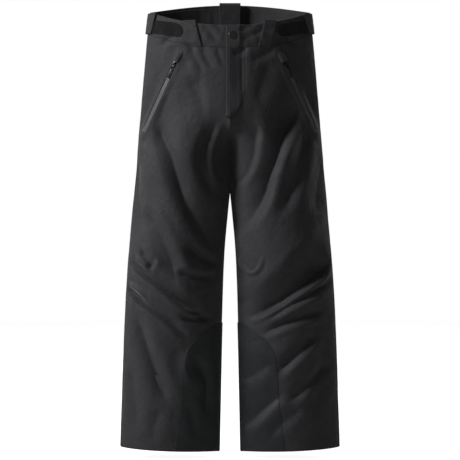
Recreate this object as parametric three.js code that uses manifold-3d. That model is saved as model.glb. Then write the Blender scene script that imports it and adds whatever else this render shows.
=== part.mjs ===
// Ski pants in the shape they take when worn: two hollow legs under one waist, front towards -Y, +Z up.
// Millimetres. The origin is the middle of the waist opening, level with the top of the waistband at the side
// seams.
// "Right" and "left" are the wearer's, so the right leg is at -X.
//
// Everything made of cloth follows one surface, the skin. A place on it is (face, u, z): face is FRONT or BACK,
// u runs from 0 at the side seam to 1 at the centre seam or the inseam, and z is the height. Each layer of cloth
// is a slab between two offsets from the skin, so layers that lie on each other stay parallel.
import * as THREE from "three";
import { mergeVertices } from "three/addons/utils/BufferGeometryUtils.js";
import Module from "manifold-3d";

const wasm = await Module();
wasm.setup();

// --- Driving sizes -------------------------------------------------------------------------------------------
const RISE = 318; // side waist to crotch
const INSEAM = 692; // crotch to hem
const KNEE_DROP = 322; // crotch to knee
const WAIST_WIDTH = 369; // across the top of the waistband
const SEAT_WIDTH = 426; // across both thighs at the crotch
const KNEE_SPREAD = 478; // outside to outside at the knee
const HEM_WIDTH = 230; // one leg, laid flat
const LEG_GAP = 48; // between the two hems
const WAIST_DEPTH = 124; // front to back at the waist
const SEAT_DEPTH = 172;
const KNEE_DEPTH = 122;
const HEM_DEPTH = 106;
const KNEE_FORWARD = 12; // how far the bent knee sits in front of the side seam's plane
const FRONT_DIP = 36; // the waist's edge drops this much at centre front
const BACK_RISE = 24; // and rises this much at centre back
const WAISTBAND = 51; // height of the waistband
const CROTCH_CURVE = 75; // height over which the centre seam turns under
const SHELL = 3; // shell, insulation and lining together
const BAND = 3.4; // waistband thickness
const SEAM = 0.5; // gap between two panels that are sewn edge to edge
const LAY = 0.4; // gap between layers that lie on each other
const FOLD = 1.7; // how sharply the cloth folds at the side seams and inseams
const SEAT_FULLNESS = 1.1; // keeps the depth where the seat turns into legs

const FLY_BOTTOM = 248; // below the side waist
const FLAP_EDGE = -8.5; // x of the fly flap's free edge
const FLAP_ROOT = 31; // x of the stitching that the flap turns on
const FLAP_CURVE = 45; // how far the stitching climbs from the flap's foot to its root
const FLAP_CLOTH = 1.8;
const FLY_ZIP_DROP = 1; // the straight zip lies this far behind the panels
const FLY_ZIP_ROOM = 1.2; // spare width around the slider between the two front panels
const SNAP_X = 6.3;
const SNAP_DROP = 23; // below the waist's edge at centre front
const SNAP_CAP_RADIUS = 9.6;
const SNAP_RADIUS = 6; // socket, stud and post
const STUD_RADIUS = 2.6;
const STUD_PLAY = 0.8;

const ZIP_TOP = [113, 96]; // pocket zip's upper end: distance from centre front, and below the side waist
const ZIP_BOTTOM = [197, 275];
const TAPE_WIDTH = 13;
const TAPE = 0.9; // zip tape thickness
const CHAIN_WIDTH = 4.4;
const SLIDER_WIDTH = 8.4;
const SLIDER_LENGTH = 11;
const SLIDER_DROP = 22; // from the pocket zip's upper end to the closed slider
const PULL_LENGTH = 14;
const GRIP_LENGTH = 22;
const GARAGE_WIDTH = 20;
const GARAGE_LENGTH = 29;
const PATCH_HEIGHT = 34; // hook-and-loop strip
const PATCH_TIP = 107; // x of the loop strip's round end
const TAB_CLOTH = 1.7;
const BELT_LOOP_WIDTH = 27;
const BELT_LOOP_X = [92, 77]; // at the top and the bottom
const BACK_LOOP_WIDTH = 49;
const BACK_LOOP_TOP = 31; // above the side waist
const BACK_LOOP_DROP = 80; // length of the loop
const BACK_LOOP_GAP = 8;
const GUARD_TOP = 712; // below the side waist, at the inseam
const GUARD_CLOTH = 1.2;
const GUARD_LIFT = 1.3; // from the panel it lies on
const GAITER_HEIGHT = 150;
const HEM_FACING = 25;

// --- Places worked out from the sizes ------------------------------------------------------------------------
const channel = SLIDER_WIDTH + FLY_ZIP_ROOM; // width of the gap that the fly zip shows in
const bagLayer = SHELL + 2.4; // how far behind the skin a pocket bag hangs, just clear of the zip's coil
const FRONT = -1;
const BACK = 1;
const RIGHT = -1;
const LEFT = 1;
const crotch = -RISE;
const knee = crotch - KNEE_DROP;
const hem = crotch - INSEAM;
const hemDrop = 12; // the hem is this much lower at the inseam than at the side seam

const { min, max, sin, cos, sqrt, abs, PI } = Math;
const mix = (a, b, t) => a + (b - a) * t;
const clamp01 = (t) => min(1, max(0, t));
const smooth = (t) => clamp01(t) ** 2 * (3 - 2 * clamp01(t));

// A smooth curve through [height, value] stations listed from the top down.
function profile(stations) {
  const slope = stations.map((_, i) => {
    const [a, b] = [stations[max(0, i - 1)], stations[min(stations.length - 1, i + 1)]];
    return (b[1] - a[1]) / (b[0] - a[0]);
  });
  return (z) => {
    let i = stations.findIndex(([level]) => z > level) - 1;
    if (i < 0) i = z > stations[0][0] ? 0 : stations.length - 2;
    const [[z0, v0], [z1, v1]] = [stations[i], stations[i + 1]];
    const t = (z - z0) / (z1 - z0);
    if (t < 0 || t > 1) return t < 0 ? v0 + slope[i] * (z - z0) : v1 + slope[i + 1] * (z - z1);
    const [m0, m1] = [slope[i] * (z1 - z0), slope[i + 1] * (z1 - z0)];
    return (2 * t ** 3 - 3 * t ** 2 + 1) * v0 + (t ** 3 - 2 * t ** 2 + t) * m0
      + (3 * t ** 2 - 2 * t ** 3) * v1 + (t ** 3 - t ** 2) * m1;
  };
}

const outerX = profile([[0, WAIST_WIDTH / 2], [-60, WAIST_WIDTH / 2 + 7], [crotch, SEAT_WIDTH / 2],
  [knee, KNEE_SPREAD / 2], [hem, LEG_GAP / 2 + HEM_WIDTH]]);
const innerX = profile([[crotch, 1], [crotch - 90, 1.5], [crotch - 235, LEG_GAP / 4], [knee - 80, LEG_GAP * 0.37],
  [hem, LEG_GAP / 2]]);
// The front falls straight from the waist to just below the fly, so that the zip can be straight.
const belly = (z) => [z, mix(WAIST_DEPTH / 2 - 2, SEAT_DEPTH / 2 - 8, -z / FLY_BOTTOM)];
const frontDepth = profile([belly(0), belly(-FLY_BOTTOM / 2), belly(-FLY_BOTTOM), belly(-FLY_BOTTOM - 20),
  [crotch, SEAT_DEPTH / 2 - 5], [knee, KNEE_DEPTH / 2], [hem, HEM_DEPTH / 2]]);
const backDepth = profile([[0, WAIST_DEPTH / 2 + 2], [-140, SEAT_DEPTH / 2 - 2], [crotch, SEAT_DEPTH / 2 + 6],
  [knee, KNEE_DEPTH / 2 + 2], [hem, HEM_DEPTH / 2]]);
const seamY = profile([[0, 0], [crotch, 0], [knee, -KNEE_FORWARD], [hem, KNEE_FORWARD / 2]]);
const depth = (face, z) => (face === FRONT ? frontDepth(z) : backDepth(z));

// The skin's point for the right half. Above the crotch a section is half of one lens, and below it a whole lens.
function skin(face, u, z) {
  const [outer, inner, deep] = [outerX(z), innerX(z), depth(face, z)];
  const hip = PI * (1 - u / 2);
  const leg = PI * (1 - u);
  const sunk = clamp01((crotch + CROTCH_CURVE - z) / CROTCH_CURVE);
  const turned = 1 - sqrt(1 - sunk ** 2); // how far the centre seam has turned under
  const legs = smooth((crotch + 110 - z) / 200); // how far the seat has turned into legs
  const split = mix(legs, turned, u ** 3);
  const x = mix(outer * cos(hip), -(outer + inner) / 2 + ((outer - inner) / 2) * cos(leg), split);
  const y = face * deep * mix(abs(sin(hip)) ** FOLD, abs(sin(leg)) ** FOLD, split);
  const full = 1 + SEAT_FULLNESS * legs * (1 - legs) * sin(PI * u) ** 2;
  return new THREE.Vector3(x, y * full + seamY(z), z);
}

// A point that lies off from the skin by a distance, outwards if it is positive.
function cloth(side, face, u, z, off) {
  const step = 1e-3;
  const across = skin(face, min(1, u + step), z).sub(skin(face, max(0, u - step), z));
  const down = skin(face, u, z + 1).sub(skin(face, u, z - 1));
  const normal = across.cross(down).normalize().multiplyScalar(-face);
  const p = skin(face, u, z).addScaledVector(normal, off);
  return new THREE.Vector3(p.x * -side, p.y, z + normal.z * off);
}

// The u of a distance from the centre plane.
function uAt(face, x, z) {
  let [low, high] = [0, 1];
  for (let i = 0; i < 40; i++) {
    const middle = (low + high) / 2;
    if (skin(face, middle, z).x < -abs(x)) low = middle;
    else high = middle;
  }
  return (low + high) / 2;
}

// The same place by its x and height, on the front, on either side of the centre.
const onFront = (x, z, off) => cloth(x < 0 ? RIGHT : LEFT, FRONT, uAt(FRONT, x, z), z, off);

// A panel's points stop at the seam planes, so that panels meet along flat seams.
function trimmed(side, face, u, z, off) {
  const p = cloth(side, face, u, z, off);
  p.x = side * max(side * p.x, SEAM / 2);
  const fromSeam = face * (p.y - seamY(z));
  p.y = seamY(z) + face * max(fromSeam, SEAM / 2);
  return p;
}

const waistEdge = (face, u) => (face === FRONT ? -FRONT_DIP : BACK_RISE) * sin((PI / 2) * u) ** 2;
const waistSeam = (face, u) => waistEdge(face, u) - WAISTBAND;
const frontU = (x) => uAt(FRONT, x, -FRONT_DIP);
const hemEdge = (u) => hem + hemDrop * (1 - u);

// --- Solids --------------------------------------------------------------------------------------------------
// A closed solid between two grids of points. A ring's last column meets its first.
function slab(columns, rows, outer, inner, ring = false) {
  const wide = ring ? columns : columns + 1;
  const points = [];
  for (const layer of [outer, inner])
    for (let j = 0; j <= rows; j++)
      for (let i = 0; i < wide; i++) points.push(...layer(i / columns, j / rows).toArray());
  const at = (layer, i, j) => layer * wide * (rows + 1) + j * wide + (i % wide);
  const faces = [];
  const quad = (a, b, c, d) => faces.push(a, b, c, a, c, d);
  for (let j = 0; j < rows; j++)
    for (let i = 0; i < columns; i++) {
      quad(at(0, i, j), at(0, i + 1, j), at(0, i + 1, j + 1), at(0, i, j + 1));
      quad(at(1, i, j), at(1, i, j + 1), at(1, i + 1, j + 1), at(1, i + 1, j));
    }
  for (let i = 0; i < columns; i++) {
    quad(at(1, i, 0), at(1, i + 1, 0), at(0, i + 1, 0), at(0, i, 0));
    quad(at(0, i, rows), at(0, i + 1, rows), at(1, i + 1, rows), at(1, i, rows));
  }
  for (let j = 0; j < rows && !ring; j++) {
    quad(at(0, 0, j), at(0, 0, j + 1), at(1, 0, j + 1), at(1, 0, j));
    quad(at(1, columns, j), at(1, columns, j + 1), at(0, columns, j + 1), at(0, columns, j));
  }
  return facingOut(new THREE.BufferGeometry()
    .setAttribute("position", new THREE.Float32BufferAttribute(points, 3)).setIndex(faces));
}

function facingOut(geometry) {
  const [p, index] = [geometry.attributes.position, geometry.index.array];
  const [a, b, c] = [new THREE.Vector3(), new THREE.Vector3(), new THREE.Vector3()];
  let volume = 0;
  for (let i = 0; i < index.length; i += 3) {
    [a, b, c].forEach((v, k) => v.fromBufferAttribute(p, index[i + k]));
    volume += a.dot(b.cross(c));
  }
  if (volume < 0) index.reverse();
  return geometry;
}

function toSolid(geometry) {
  const bare = geometry.clone();
  bare.deleteAttribute("normal");
  bare.deleteAttribute("uv");
  const merged = mergeVertices(bare, 1e-4);
  return new wasm.Manifold(new wasm.Mesh({
    numProp: 3,
    vertProperties: new Float32Array(merged.attributes.position.array),
    triVerts: new Uint32Array(merged.index.array),
  }));
}

function toGeometry(solid) {
  const mesh = solid.getMesh();
  return new THREE.BufferGeometry()
    .setAttribute("position", new THREE.BufferAttribute(new Float32Array(mesh.vertProperties), 3))
    .setIndex(new THREE.BufferAttribute(new Uint32Array(mesh.triVerts), 1));
}

const cut = (geometry, ...tools) =>
  toGeometry(tools.reduce((solid, tool) => solid.subtract(toSolid(tool)), toSolid(geometry)));
const joined = (first, ...others) =>
  toGeometry(others.reduce((solid, other) => solid.add(toSolid(other)), toSolid(first)));

// A box between two corners.
function block([x0, y0, z0], [x1, y1, z1]) {
  return new THREE.BoxGeometry(x1 - x0, y1 - y0, z1 - z0)
    .translate((x0 + x1) / 2, (y0 + y1) / 2, (z0 + z1) / 2);
}

// A turned piece whose axis is +Z, from [radius, height] points that start and end on the axis.
function turned(points, sides = 24) {
  return new THREE.LatheGeometry(points.map(([r, h]) => new THREE.Vector2(r, h)), sides).rotateX(PI / 2);
}

// --- Materials and the model ---------------------------------------------------------------------------------
const material = (color, roughness, metalness = 0) =>
  new THREE.MeshStandardMaterial({ color, roughness, metalness });
const shellCloth = material("#2f2d30", 0.75);
const guardCloth = material("#1d1f20", 0.6);
const loopPile = material("#161918", 0.95);
const innerCloth = material("#242427", 0.9);
const zipTape = material("#4c5152", 0.35);
const zipPlastic = material("#1b1b1c", 0.45);
const zipMetal = material("#4a4a45", 0.3, 1);
const snapMetal = material("#2b2e2f", 0.4, 1);
const elastic = material("#202022", 0.95);

const pants = new THREE.Group();
pants.name = "ski_pants";
// Joint axes in the part's frame, for whoever poses the model: a point and a direction each.
pants.userData.joints = {};

function add(name, geometry, finish, matrix) {
  const mesh = new THREE.Mesh(geometry, finish);
  mesh.name = name;
  if (matrix) mesh.applyMatrix4(matrix);
  pants.add(mesh);
}

const nameOf = (side, piece) => (side === RIGHT ? "right_" : "left_") + piece;
const bothSides = (make) => [RIGHT, LEFT].forEach(make);

// --- Leg and seat panels -------------------------------------------------------------------------------------
// Rows are close together where the centre seam turns under the crotch.
function panelLevels(face) {
  const top = waistSeam(face, 1) - SEAM / 2;
  const turn = crotch + CROTCH_CURVE;
  const levels = [];
  for (let i = 0; i < 4; i++) levels.push(mix(top, turn, i / 4));
  for (let i = 0; i < 4; i++) levels.push(mix(turn, crotch, sin((PI / 8) * i)));
  for (let i = 0; i <= 9; i++) levels.push(mix(crotch, hemEdge(1), i / 9));
  return levels.map((z) => (z - top) / (hemEdge(1) - top));
}

function legPanel(side, face) {
  const levels = panelLevels(face);
  const rows = levels.length - 1;
  const layer = (off) => (a, b) => {
    const z = mix(waistSeam(face, a) - SEAM / 2, hemEdge(a), levels[Math.round(b * rows)]);
    return trimmed(side, face, a, z, off);
  };
  return slab(14, rows, layer(0), layer(-SHELL));
}

// --- Pocket zips ---------------------------------------------------------------------------------------------
// A zip's own frame: x across it, y down it, z away from the body, and 0 at the tape's outer face.
function zipFrame(top, bottom, off) {
  const [start, end] = [top, bottom].map(([x, drop]) => onFront(x, -drop, off));
  const y = end.clone().sub(start).normalize();
  const middle = onFront((top[0] + bottom[0]) / 2, -(top[1] + bottom[1]) / 2, 0);
  const away = onFront((top[0] + bottom[0]) / 2, -(top[1] + bottom[1]) / 2, 1).sub(middle);
  const z = away.addScaledVector(y, -away.dot(y)).normalize();
  const matrix = new THREE.Matrix4().makeBasis(y.clone().cross(z), y, z).setPosition(start);
  return { matrix, back: matrix.clone().invert(), length: start.distanceTo(end) };
}

// How far the skin lies in front of a zip's frame at a place in it.
function skinHeight(frame, x, y) {
  let z = 0;
  for (let i = 0; i < 4; i++) {
    const p = new THREE.Vector3(x, y, z).applyMatrix4(frame.matrix);
    z = onFront(p.x, p.z, 0).applyMatrix4(frame.back).z;
  }
  return z;
}

const zipEnds = 4; // the tape runs on past each end of the zip
const clear = 0.4; // between a zip's own pieces
const sliderPlate = 2;
const pullBar = 1.2;
const bridge = { wall: 1.1, width: 1.9, start: 3, end: 9, rise: 3 };

function slider(start, lift, thick) {
  const plate = new THREE.Shape();
  const [w, l, r] = [SLIDER_WIDTH / 2, SLIDER_LENGTH, SLIDER_WIDTH / 2];
  plate.moveTo(-w, r);
  plate.absarc(0, r, r, PI, 2 * PI, false);
  plate.lineTo(w * 0.72, l);
  plate.lineTo(-w * 0.72, l);
  plate.closePath();
  return new THREE.ExtrudeGeometry(plate, { depth: thick, bevelEnabled: false, curveSegments: 8 })
    .translate(0, start, lift);
}

// The bridge that a pull hangs on, an arch along the slider.
function sliderBridge(start, lift) {
  const { wall, width, start: from, end: to, rise } = bridge;
  const arch = new THREE.Shape();
  arch.moveTo(from, -0.5).lineTo(from, rise - wall);
  arch.quadraticCurveTo(from, rise, from + wall, rise);
  arch.lineTo(to - wall, rise);
  arch.quadraticCurveTo(to, rise, to, rise - wall);
  arch.lineTo(to, -0.5).lineTo(to - wall, -0.5).lineTo(to - wall, rise - wall);
  arch.lineTo(from + wall, rise - wall).lineTo(from + wall, -0.5).closePath();
  return new THREE.ExtrudeGeometry(arch, { depth: width, bevelEnabled: false, curveSegments: 3 })
    .applyMatrix4(new THREE.Matrix4().makeBasis(new THREE.Vector3(0, 1, 0), new THREE.Vector3(0, 0, 1),
      new THREE.Vector3(1, 0, 0)))
    .translate(-width / 2, start, lift);
}

const hingeAlong = bridge.end - bridge.wall - 1.1; // the pull's bar, from the slider's top
const pullLift = clear + sliderPlate + (bridge.rise - bridge.wall - pullBar) / 2;

// A flat metal pull: a frame whose bar goes under the bridge, and a neck for the grip.
function pullFrame(start, lift) {
  const half = 3.1;
  const ring = new THREE.Shape();
  const y0 = start + hingeAlong - 0.5;
  ring.moveTo(-half, y0).lineTo(half, y0).lineTo(half, y0 + 6).lineTo(1.6, y0 + PULL_LENGTH);
  ring.lineTo(-1.6, y0 + PULL_LENGTH).lineTo(-half, y0 + 6).closePath();
  const hole = new THREE.Path();
  hole.moveTo(-1.8, y0 + 1.1).lineTo(-1.8, y0 + 5).lineTo(1.8, y0 + 5).lineTo(1.8, y0 + 1.1).closePath();
  ring.holes.push(hole);
  return new THREE.ExtrudeGeometry(ring, { depth: pullBar, bevelEnabled: false }).translate(0, 0, lift);
}

// A moulded grip on the end of the pull, with a round end.
function pullGrip(start, lift) {
  const [w, y0] = [2.2, start + hingeAlong + PULL_LENGTH - 0.5 + 0.3];
  const grip = new THREE.Shape();
  grip.moveTo(-w * 0.75, y0).lineTo(w * 0.75, y0).lineTo(w, y0 + GRIP_LENGTH - w);
  grip.absarc(0, y0 + GRIP_LENGTH - w, w, 0, PI, false);
  grip.closePath();
  return new THREE.ExtrudeGeometry(grip, { depth: pullBar + 0.8, bevelEnabled: false, curveSegments: 6 })
    .translate(0, 0, lift - 0.4);
}

function zipTapes(length, width, chain) {
  return [-1, 1].map((hand) => {
    const [near, far] = [hand * (chain / 2 - 1.8), hand * (width / 2)];
    return block([min(near, far), -zipEnds, -TAPE], [max(near, far), length + zipEnds, 0]);
  });
}

// The hood over the closed slider's head, open towards the slider.
function garage(frame) {
  const height = 4.6;
  const layer = (extra) => (a, b) => {
    const x = mix(-GARAGE_WIDTH / 2, GARAGE_WIDTH / 2, a);
    const y = mix(SLIDER_DROP + 2 - GARAGE_LENGTH, SLIDER_DROP + 2, b);
    const hood = (1 - abs(2 * a - 1) ** 4) * smooth(b * 2.2);
    const base = max(skinHeight(frame, x, y), abs(x) < TAPE_WIDTH / 2 + 2 ? 0 : -99);
    return new THREE.Vector3(x, y, base + LAY + height * hood + extra);
  };
  return slab(10, 8, layer(1), layer(0));
}

function pocket(side) {
  const [top, bottom] = [ZIP_TOP, ZIP_BOTTOM].map(([x, drop]) => [side * x, drop]);
  const frame = zipFrame(top, bottom, 1.1);
  const { matrix, length } = frame;
  const tapes = zipTapes(length, TAPE_WIDTH, CHAIN_WIDTH);
  const hands = side === RIGHT ? ["front", "side"] : ["side", "front"]; // towards +X first
  tapes.forEach((tape, i) => add(nameOf(side, `pocket_zip_tape_${hands[i]}`), tape, zipTape, matrix));
  add(nameOf(side, "pocket_zip_coil"),
    block([-CHAIN_WIDTH / 2, 0, -TAPE - clear - 1.2], [CHAIN_WIDTH / 2, length, -TAPE - clear]),
    zipPlastic, matrix);
  add(nameOf(side, "pocket_zip_slider"),
    joined(slider(SLIDER_DROP, clear, sliderPlate), sliderBridge(SLIDER_DROP, clear + sliderPlate)),
    zipMetal, matrix);
  add(nameOf(side, "pocket_zip_pull"), pullFrame(SLIDER_DROP, pullLift), zipMetal, matrix);
  add(nameOf(side, "pocket_zip_grip"), pullGrip(SLIDER_DROP, pullLift), zipPlastic, matrix);
  add(nameOf(side, "pocket_zip_garage"), garage(frame), shellCloth, matrix);
  const onZip = (x, y, z) => new THREE.Vector3(x, y, z).applyMatrix4(matrix).toArray();
  const axisOf = (x, y, z) => new THREE.Vector3(x, y, z).transformDirection(matrix).toArray();
  pants.userData.joints[nameOf(side, "pocket_slide")] = {
    point: onZip(0, SLIDER_DROP, 0), axis: axisOf(0, 1, 0), travel: length - SLIDER_DROP - SLIDER_LENGTH - 3 };
  pants.userData.joints[nameOf(side, "pull_flip")] = {
    point: onZip(0, SLIDER_DROP + hingeAlong, pullLift + pullBar / 2), axis: axisOf(1, 0, 0) };
  return { slot: slotTool(length).applyMatrix4(matrix), bag: pocketBag(side) };
}

// What is cut out of the front panel so that the zip lies in it.
const slotTool = (length) =>
  block([-TAPE_WIDTH / 2 - clear, -zipEnds - clear, -30], [TAPE_WIDTH / 2 + clear, length + zipEnds + clear, 30]);

// The bag hangs inside, sewn behind the zip and reaching towards centre front.
function pocketBag(side) {
  const [top, bottom] = [-ZIP_TOP[1] - 10, -ZIP_BOTTOM[1] - 22];
  const layer = (off) => (a, b) => {
    const z = mix(top, bottom, b);
    const along = clamp01((-z - ZIP_TOP[1]) / (ZIP_BOTTOM[1] - ZIP_TOP[1]));
    const behindZip = mix(ZIP_TOP[0], ZIP_BOTTOM[0] - 8, along) + 4;
    return onFront(side * mix(behindZip, 70 + 14 * (2 * b - 1) ** 4, a), z, off);
  };
  return slab(8, 8, layer(-bagLayer), layer(-bagLayer - 1));
}

// --- Fly and front closure -----------------------------------------------------------------------------------
// The channel between the two front panels that the fly zip shows in.
const flyChannel = () => block([-1, -200, -FLY_BOTTOM + 2], [channel, 0, 0]);
const flapLift = 0.6;

function fly() {
  const centre = channel / 2 - SEAM / 4;
  const zipTop = FRONT_DIP + WAISTBAND + 5;
  const frame = zipFrame([centre, zipTop], [centre, FLY_BOTTOM - 14], -SHELL - FLY_ZIP_DROP);
  const { matrix, length } = frame;
  const [left, right] = [-1, 1].map((hand) => {
    const [near, far] = [hand * 2.5, hand * 14.5];
    return block([min(near, far), -2, -0.6], [max(near, far), length, 0]);
  });
  add("fly_zip_tape_right", right, zipPlastic, matrix);
  add("fly_zip_tape_left", left, zipPlastic, matrix);
  add("fly_zip_coil", block([-2.1, 0, -0.9], [2.1, length, 0.5]), zipPlastic, matrix);
  add("fly_zip_slider", slider(1, 0.9, 1.2), zipMetal, matrix);
  add("fly_zip_pull", block([-1.8, 4, 2.4], [1.8, 24, 3.1]), zipMetal, matrix);
  pants.userData.joints.fly_slide = {
    point: new THREE.Vector3(0, 1, 0).applyMatrix4(matrix).toArray(),
    axis: new THREE.Vector3(0, 1, 0).transformDirection(matrix).toArray(), travel: length - SLIDER_LENGTH - 4 };

  const shield = (off) => (a, b) => {
    const x = mix(-18, 24, a);
    return onFront(x, mix(waistSeam(FRONT, frontU(x)) - 1, -FLY_BOTTOM - 2, b), off);
  };
  add("fly_shield", slab(6, 8, shield(-SHELL - 2.3), shield(-SHELL - 3.5)), innerCloth);

  // The flap's foot climbs from the free edge to the stitching it turns on.
  const flap = (off) => (a, b) => {
    const x = mix(FLAP_EDGE, FLAP_ROOT, a);
    const foot = -FLY_BOTTOM + FLAP_CURVE * a ** 2.2;
    return onFront(x, mix(waistSeam(FRONT, frontU(x)) - SEAM / 2, foot, b), off);
  };
  add("fly_flap", slab(8, 10, flap(flapLift + FLAP_CLOTH), flap(flapLift)), shellCloth);
}

const band = (face, low, high) => (u, b) => mix(waistEdge(face, u) - low, waistSeam(face, u) + high, b);

function frontBand() {
  const level = band(FRONT, 0, SEAM / 2);
  const half = (side, end) => (off) => (a, b) => trimmed(side, FRONT, a * end, level(a * end, b), off);
  const right = half(RIGHT, 1);
  const left = half(LEFT, frontU(16));
  add("right_front_waistband", slab(14, 3, right(0), right(-BAND)), shellCloth);
  add("left_front_waistband", slab(14, 3, left(0), left(-BAND)), shellCloth);

  const strip = (from, to, low, high) => (off) => (a, b) => {
    const x = mix(from, to, a);
    return onFront(x, band(FRONT, low, high)(frontU(x), b), off);
  };
  const under = strip(-14, 24, 1, 1);
  add("waistband_underlap", slab(6, 3, under(-BAND - LAY), under(-BAND - LAY - 2.2)), innerCloth);
  const over = strip(FLAP_EDGE, FLAP_ROOT, 0, SEAM / 2);
  add("waistband_overlap", slab(8, 4, over(flapLift + FLAP_CLOTH + 0.4), over(flapLift)), shellCloth);

  const [high, low] = [-FRONT_DIP, -FLY_BOTTOM + FLAP_CURVE].map((z) => onFront(FLAP_ROOT, z, flapLift));
  const axis = high.clone().sub(low).normalize();
  pants.userData.joints.fly_flap_open = { point: high.toArray(), axis: axis.toArray() };
}

// A snap fastener of four pieces on one axis: cap and socket on the overlap, stud and post on the underlap.
function snap() {
  const z = -FRONT_DIP - SNAP_DROP;
  const [foot, tip] = [onFront(SNAP_X, z, 0), onFront(SNAP_X, z, 1)];
  const turn = new THREE.Quaternion().setFromUnitVectors(new THREE.Vector3(0, 0, 1), tip.sub(foot));
  const matrix = new THREE.Matrix4().compose(foot, turn, new THREE.Vector3(1, 1, 1));
  const overlapTop = flapLift + FLAP_CLOTH + 0.4;
  const underlapTop = -BAND - LAY;
  const [r, c] = [SNAP_RADIUS, SNAP_CAP_RADIUS];
  const capFoot = overlapTop + 0.3;
  add("snap_cap", turned([[0, capFoot], [c, capFoot], [c, capFoot + 0.5], [c * 0.86, capFoot + 1.2],
    [c * 0.7, capFoot + 1.5], [c * 0.6, capFoot + 1.15], [0, capFoot + 1.35]], 28), snapMetal, matrix);
  const bore = STUD_RADIUS + STUD_PLAY;
  const [socketTop, socketFoot] = [flapLift - 0.35, underlapTop + 1.5];
  add("snap_socket", turned([[0, socketTop - 0.6], [bore, socketTop - 0.6], [bore, socketFoot],
    [r, socketFoot], [r, socketTop], [0, socketTop]]), snapMetal, matrix);
  const studFoot = underlapTop + 0.3;
  const studTop = socketTop - 1.1;
  add("snap_stud", turned([[0, studFoot], [r - 0.4, studFoot], [r - 0.4, studFoot + 0.6],
    [STUD_RADIUS - 0.5, studFoot + 0.8], [STUD_RADIUS, studFoot + 1.5], [STUD_RADIUS - 0.3, studTop],
    [0, studTop]]), snapMetal, matrix);
  const postTop = underlapTop - 2.2 - 0.3;
  const postSide = [[0, postTop - 1], [r, postTop - 0.6], [r, postTop], [0, postTop]];
  add("snap_post", turned(postSide), snapMetal, matrix);
}

// --- Back of the waist ---------------------------------------------------------------------------------------
// s runs across the whole back, from -1 at the right side seam to 1 at the left one.
const onBack = (place) => (off) => (a, b) => {
  const [s, level] = place(a, b);
  return cloth(s < 0 ? RIGHT : LEFT, BACK, 1 - abs(s), level, off);
};

function backOfWaist() {
  const level = band(BACK, 0, SEAM / 2);
  const layer = (off) => (a, b) => {
    const s = 2 * a - 1;
    const p = cloth(s < 0 ? RIGHT : LEFT, BACK, 1 - abs(s), level(1 - abs(s), b), off);
    p.y = max(p.y, seamY(p.z) + SEAM / 2);
    return p;
  };
  add("back_waistband", slab(28, 3, layer(0), layer(-BAND)), shellCloth);
  const strip = onBack((a, b) => [mix(-0.72, 0.72, a), band(BACK, 6, 6)(1 - abs(mix(-0.72, 0.72, a)), b)]);
  add("waist_elastic", slab(20, 2, strip(-BAND - LAY), strip(-BAND - LAY - 1.2)), elastic);
}

// The wide loop for the braces, a flattened ring of webbing that stands on the inside of the back waistband.
function backLoop() {
  const [top, foot] = [BACK_LOOP_TOP, BACK_LOOP_TOP - BACK_LOOP_DROP];
  // The loop is flat, so it touches the curved waistband along its two edges.
  const edgeU = uAt(BACK, BACK_LOOP_WIDTH / 2, foot);
  const hollow = skin(BACK, 1, foot).y - skin(BACK, edgeU, foot).y;
  const deepest = -BAND - LAY - 1.2 - 2 * LAY - hollow;
  const [high, low] = [top, foot].map((z) => cloth(RIGHT, BACK, 1, z, deepest).setX(0));
  const up = high.clone().sub(low).normalize();
  const web = 1.6;
  const wide = BACK_LOOP_GAP + 2 * web;
  const tall = BACK_LOOP_DROP;
  const ring = new THREE.Shape();
  ring.moveTo(wide / 2, wide / 2).lineTo(wide / 2, tall - wide / 2);
  ring.absarc(0, tall - wide / 2, wide / 2, 0, PI, false);
  ring.lineTo(-wide / 2, wide / 2);
  ring.absarc(0, wide / 2, wide / 2, PI, 2 * PI, false);
  const hole = new THREE.Path();
  const r = BACK_LOOP_GAP / 2;
  hole.moveTo(-r, wide / 2).lineTo(-r, tall - wide / 2);
  hole.absarc(0, tall - wide / 2, r, PI, 0, true);
  hole.lineTo(r, wide / 2);
  hole.absarc(0, wide / 2, r, 0, PI, true);
  ring.holes.push(hole);
  const along = new THREE.Vector3(1, 0, 0);
  const inward = along.clone().cross(up).negate();
  const matrix = new THREE.Matrix4().makeBasis(inward, up, inward.clone().cross(up))
    .setPosition(low.clone().addScaledVector(inward, inward.y < 0 ? wide / 2 : -wide / 2));
  const settings = { depth: BACK_LOOP_WIDTH, bevelEnabled: false, curveSegments: 6 };
  const geometry = new THREE.ExtrudeGeometry(ring, settings).translate(0, 0, -BACK_LOOP_WIDTH / 2);
  add("back_suspender_loop", geometry, shellCloth, matrix);
  pants.userData.joints.back_loop_fold = { point: low.toArray(), axis: [1, 0, 0] };
}

// --- Waist adjusters and belt loops --------------------------------------------------------------------------
const patchLift = LAY;
const patchPile = 1;
const hookLift = patchLift + patchPile + 0.3;
const hookPile = 0.8;
const tabLift = hookLift + hookPile + 0.3;
const tabFrontX = [168, 179]; // the tab's slanting front edge, top and bottom
const tabBack = 0.3; // u of the tab's sewn end, on the back

// A place on the waist that may be on either face: w is u on the front, and minus u on the back.
const aroundSide = (side, w, z, off) => cloth(side, w < 0 ? BACK : FRONT, abs(w), z, off);

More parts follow.
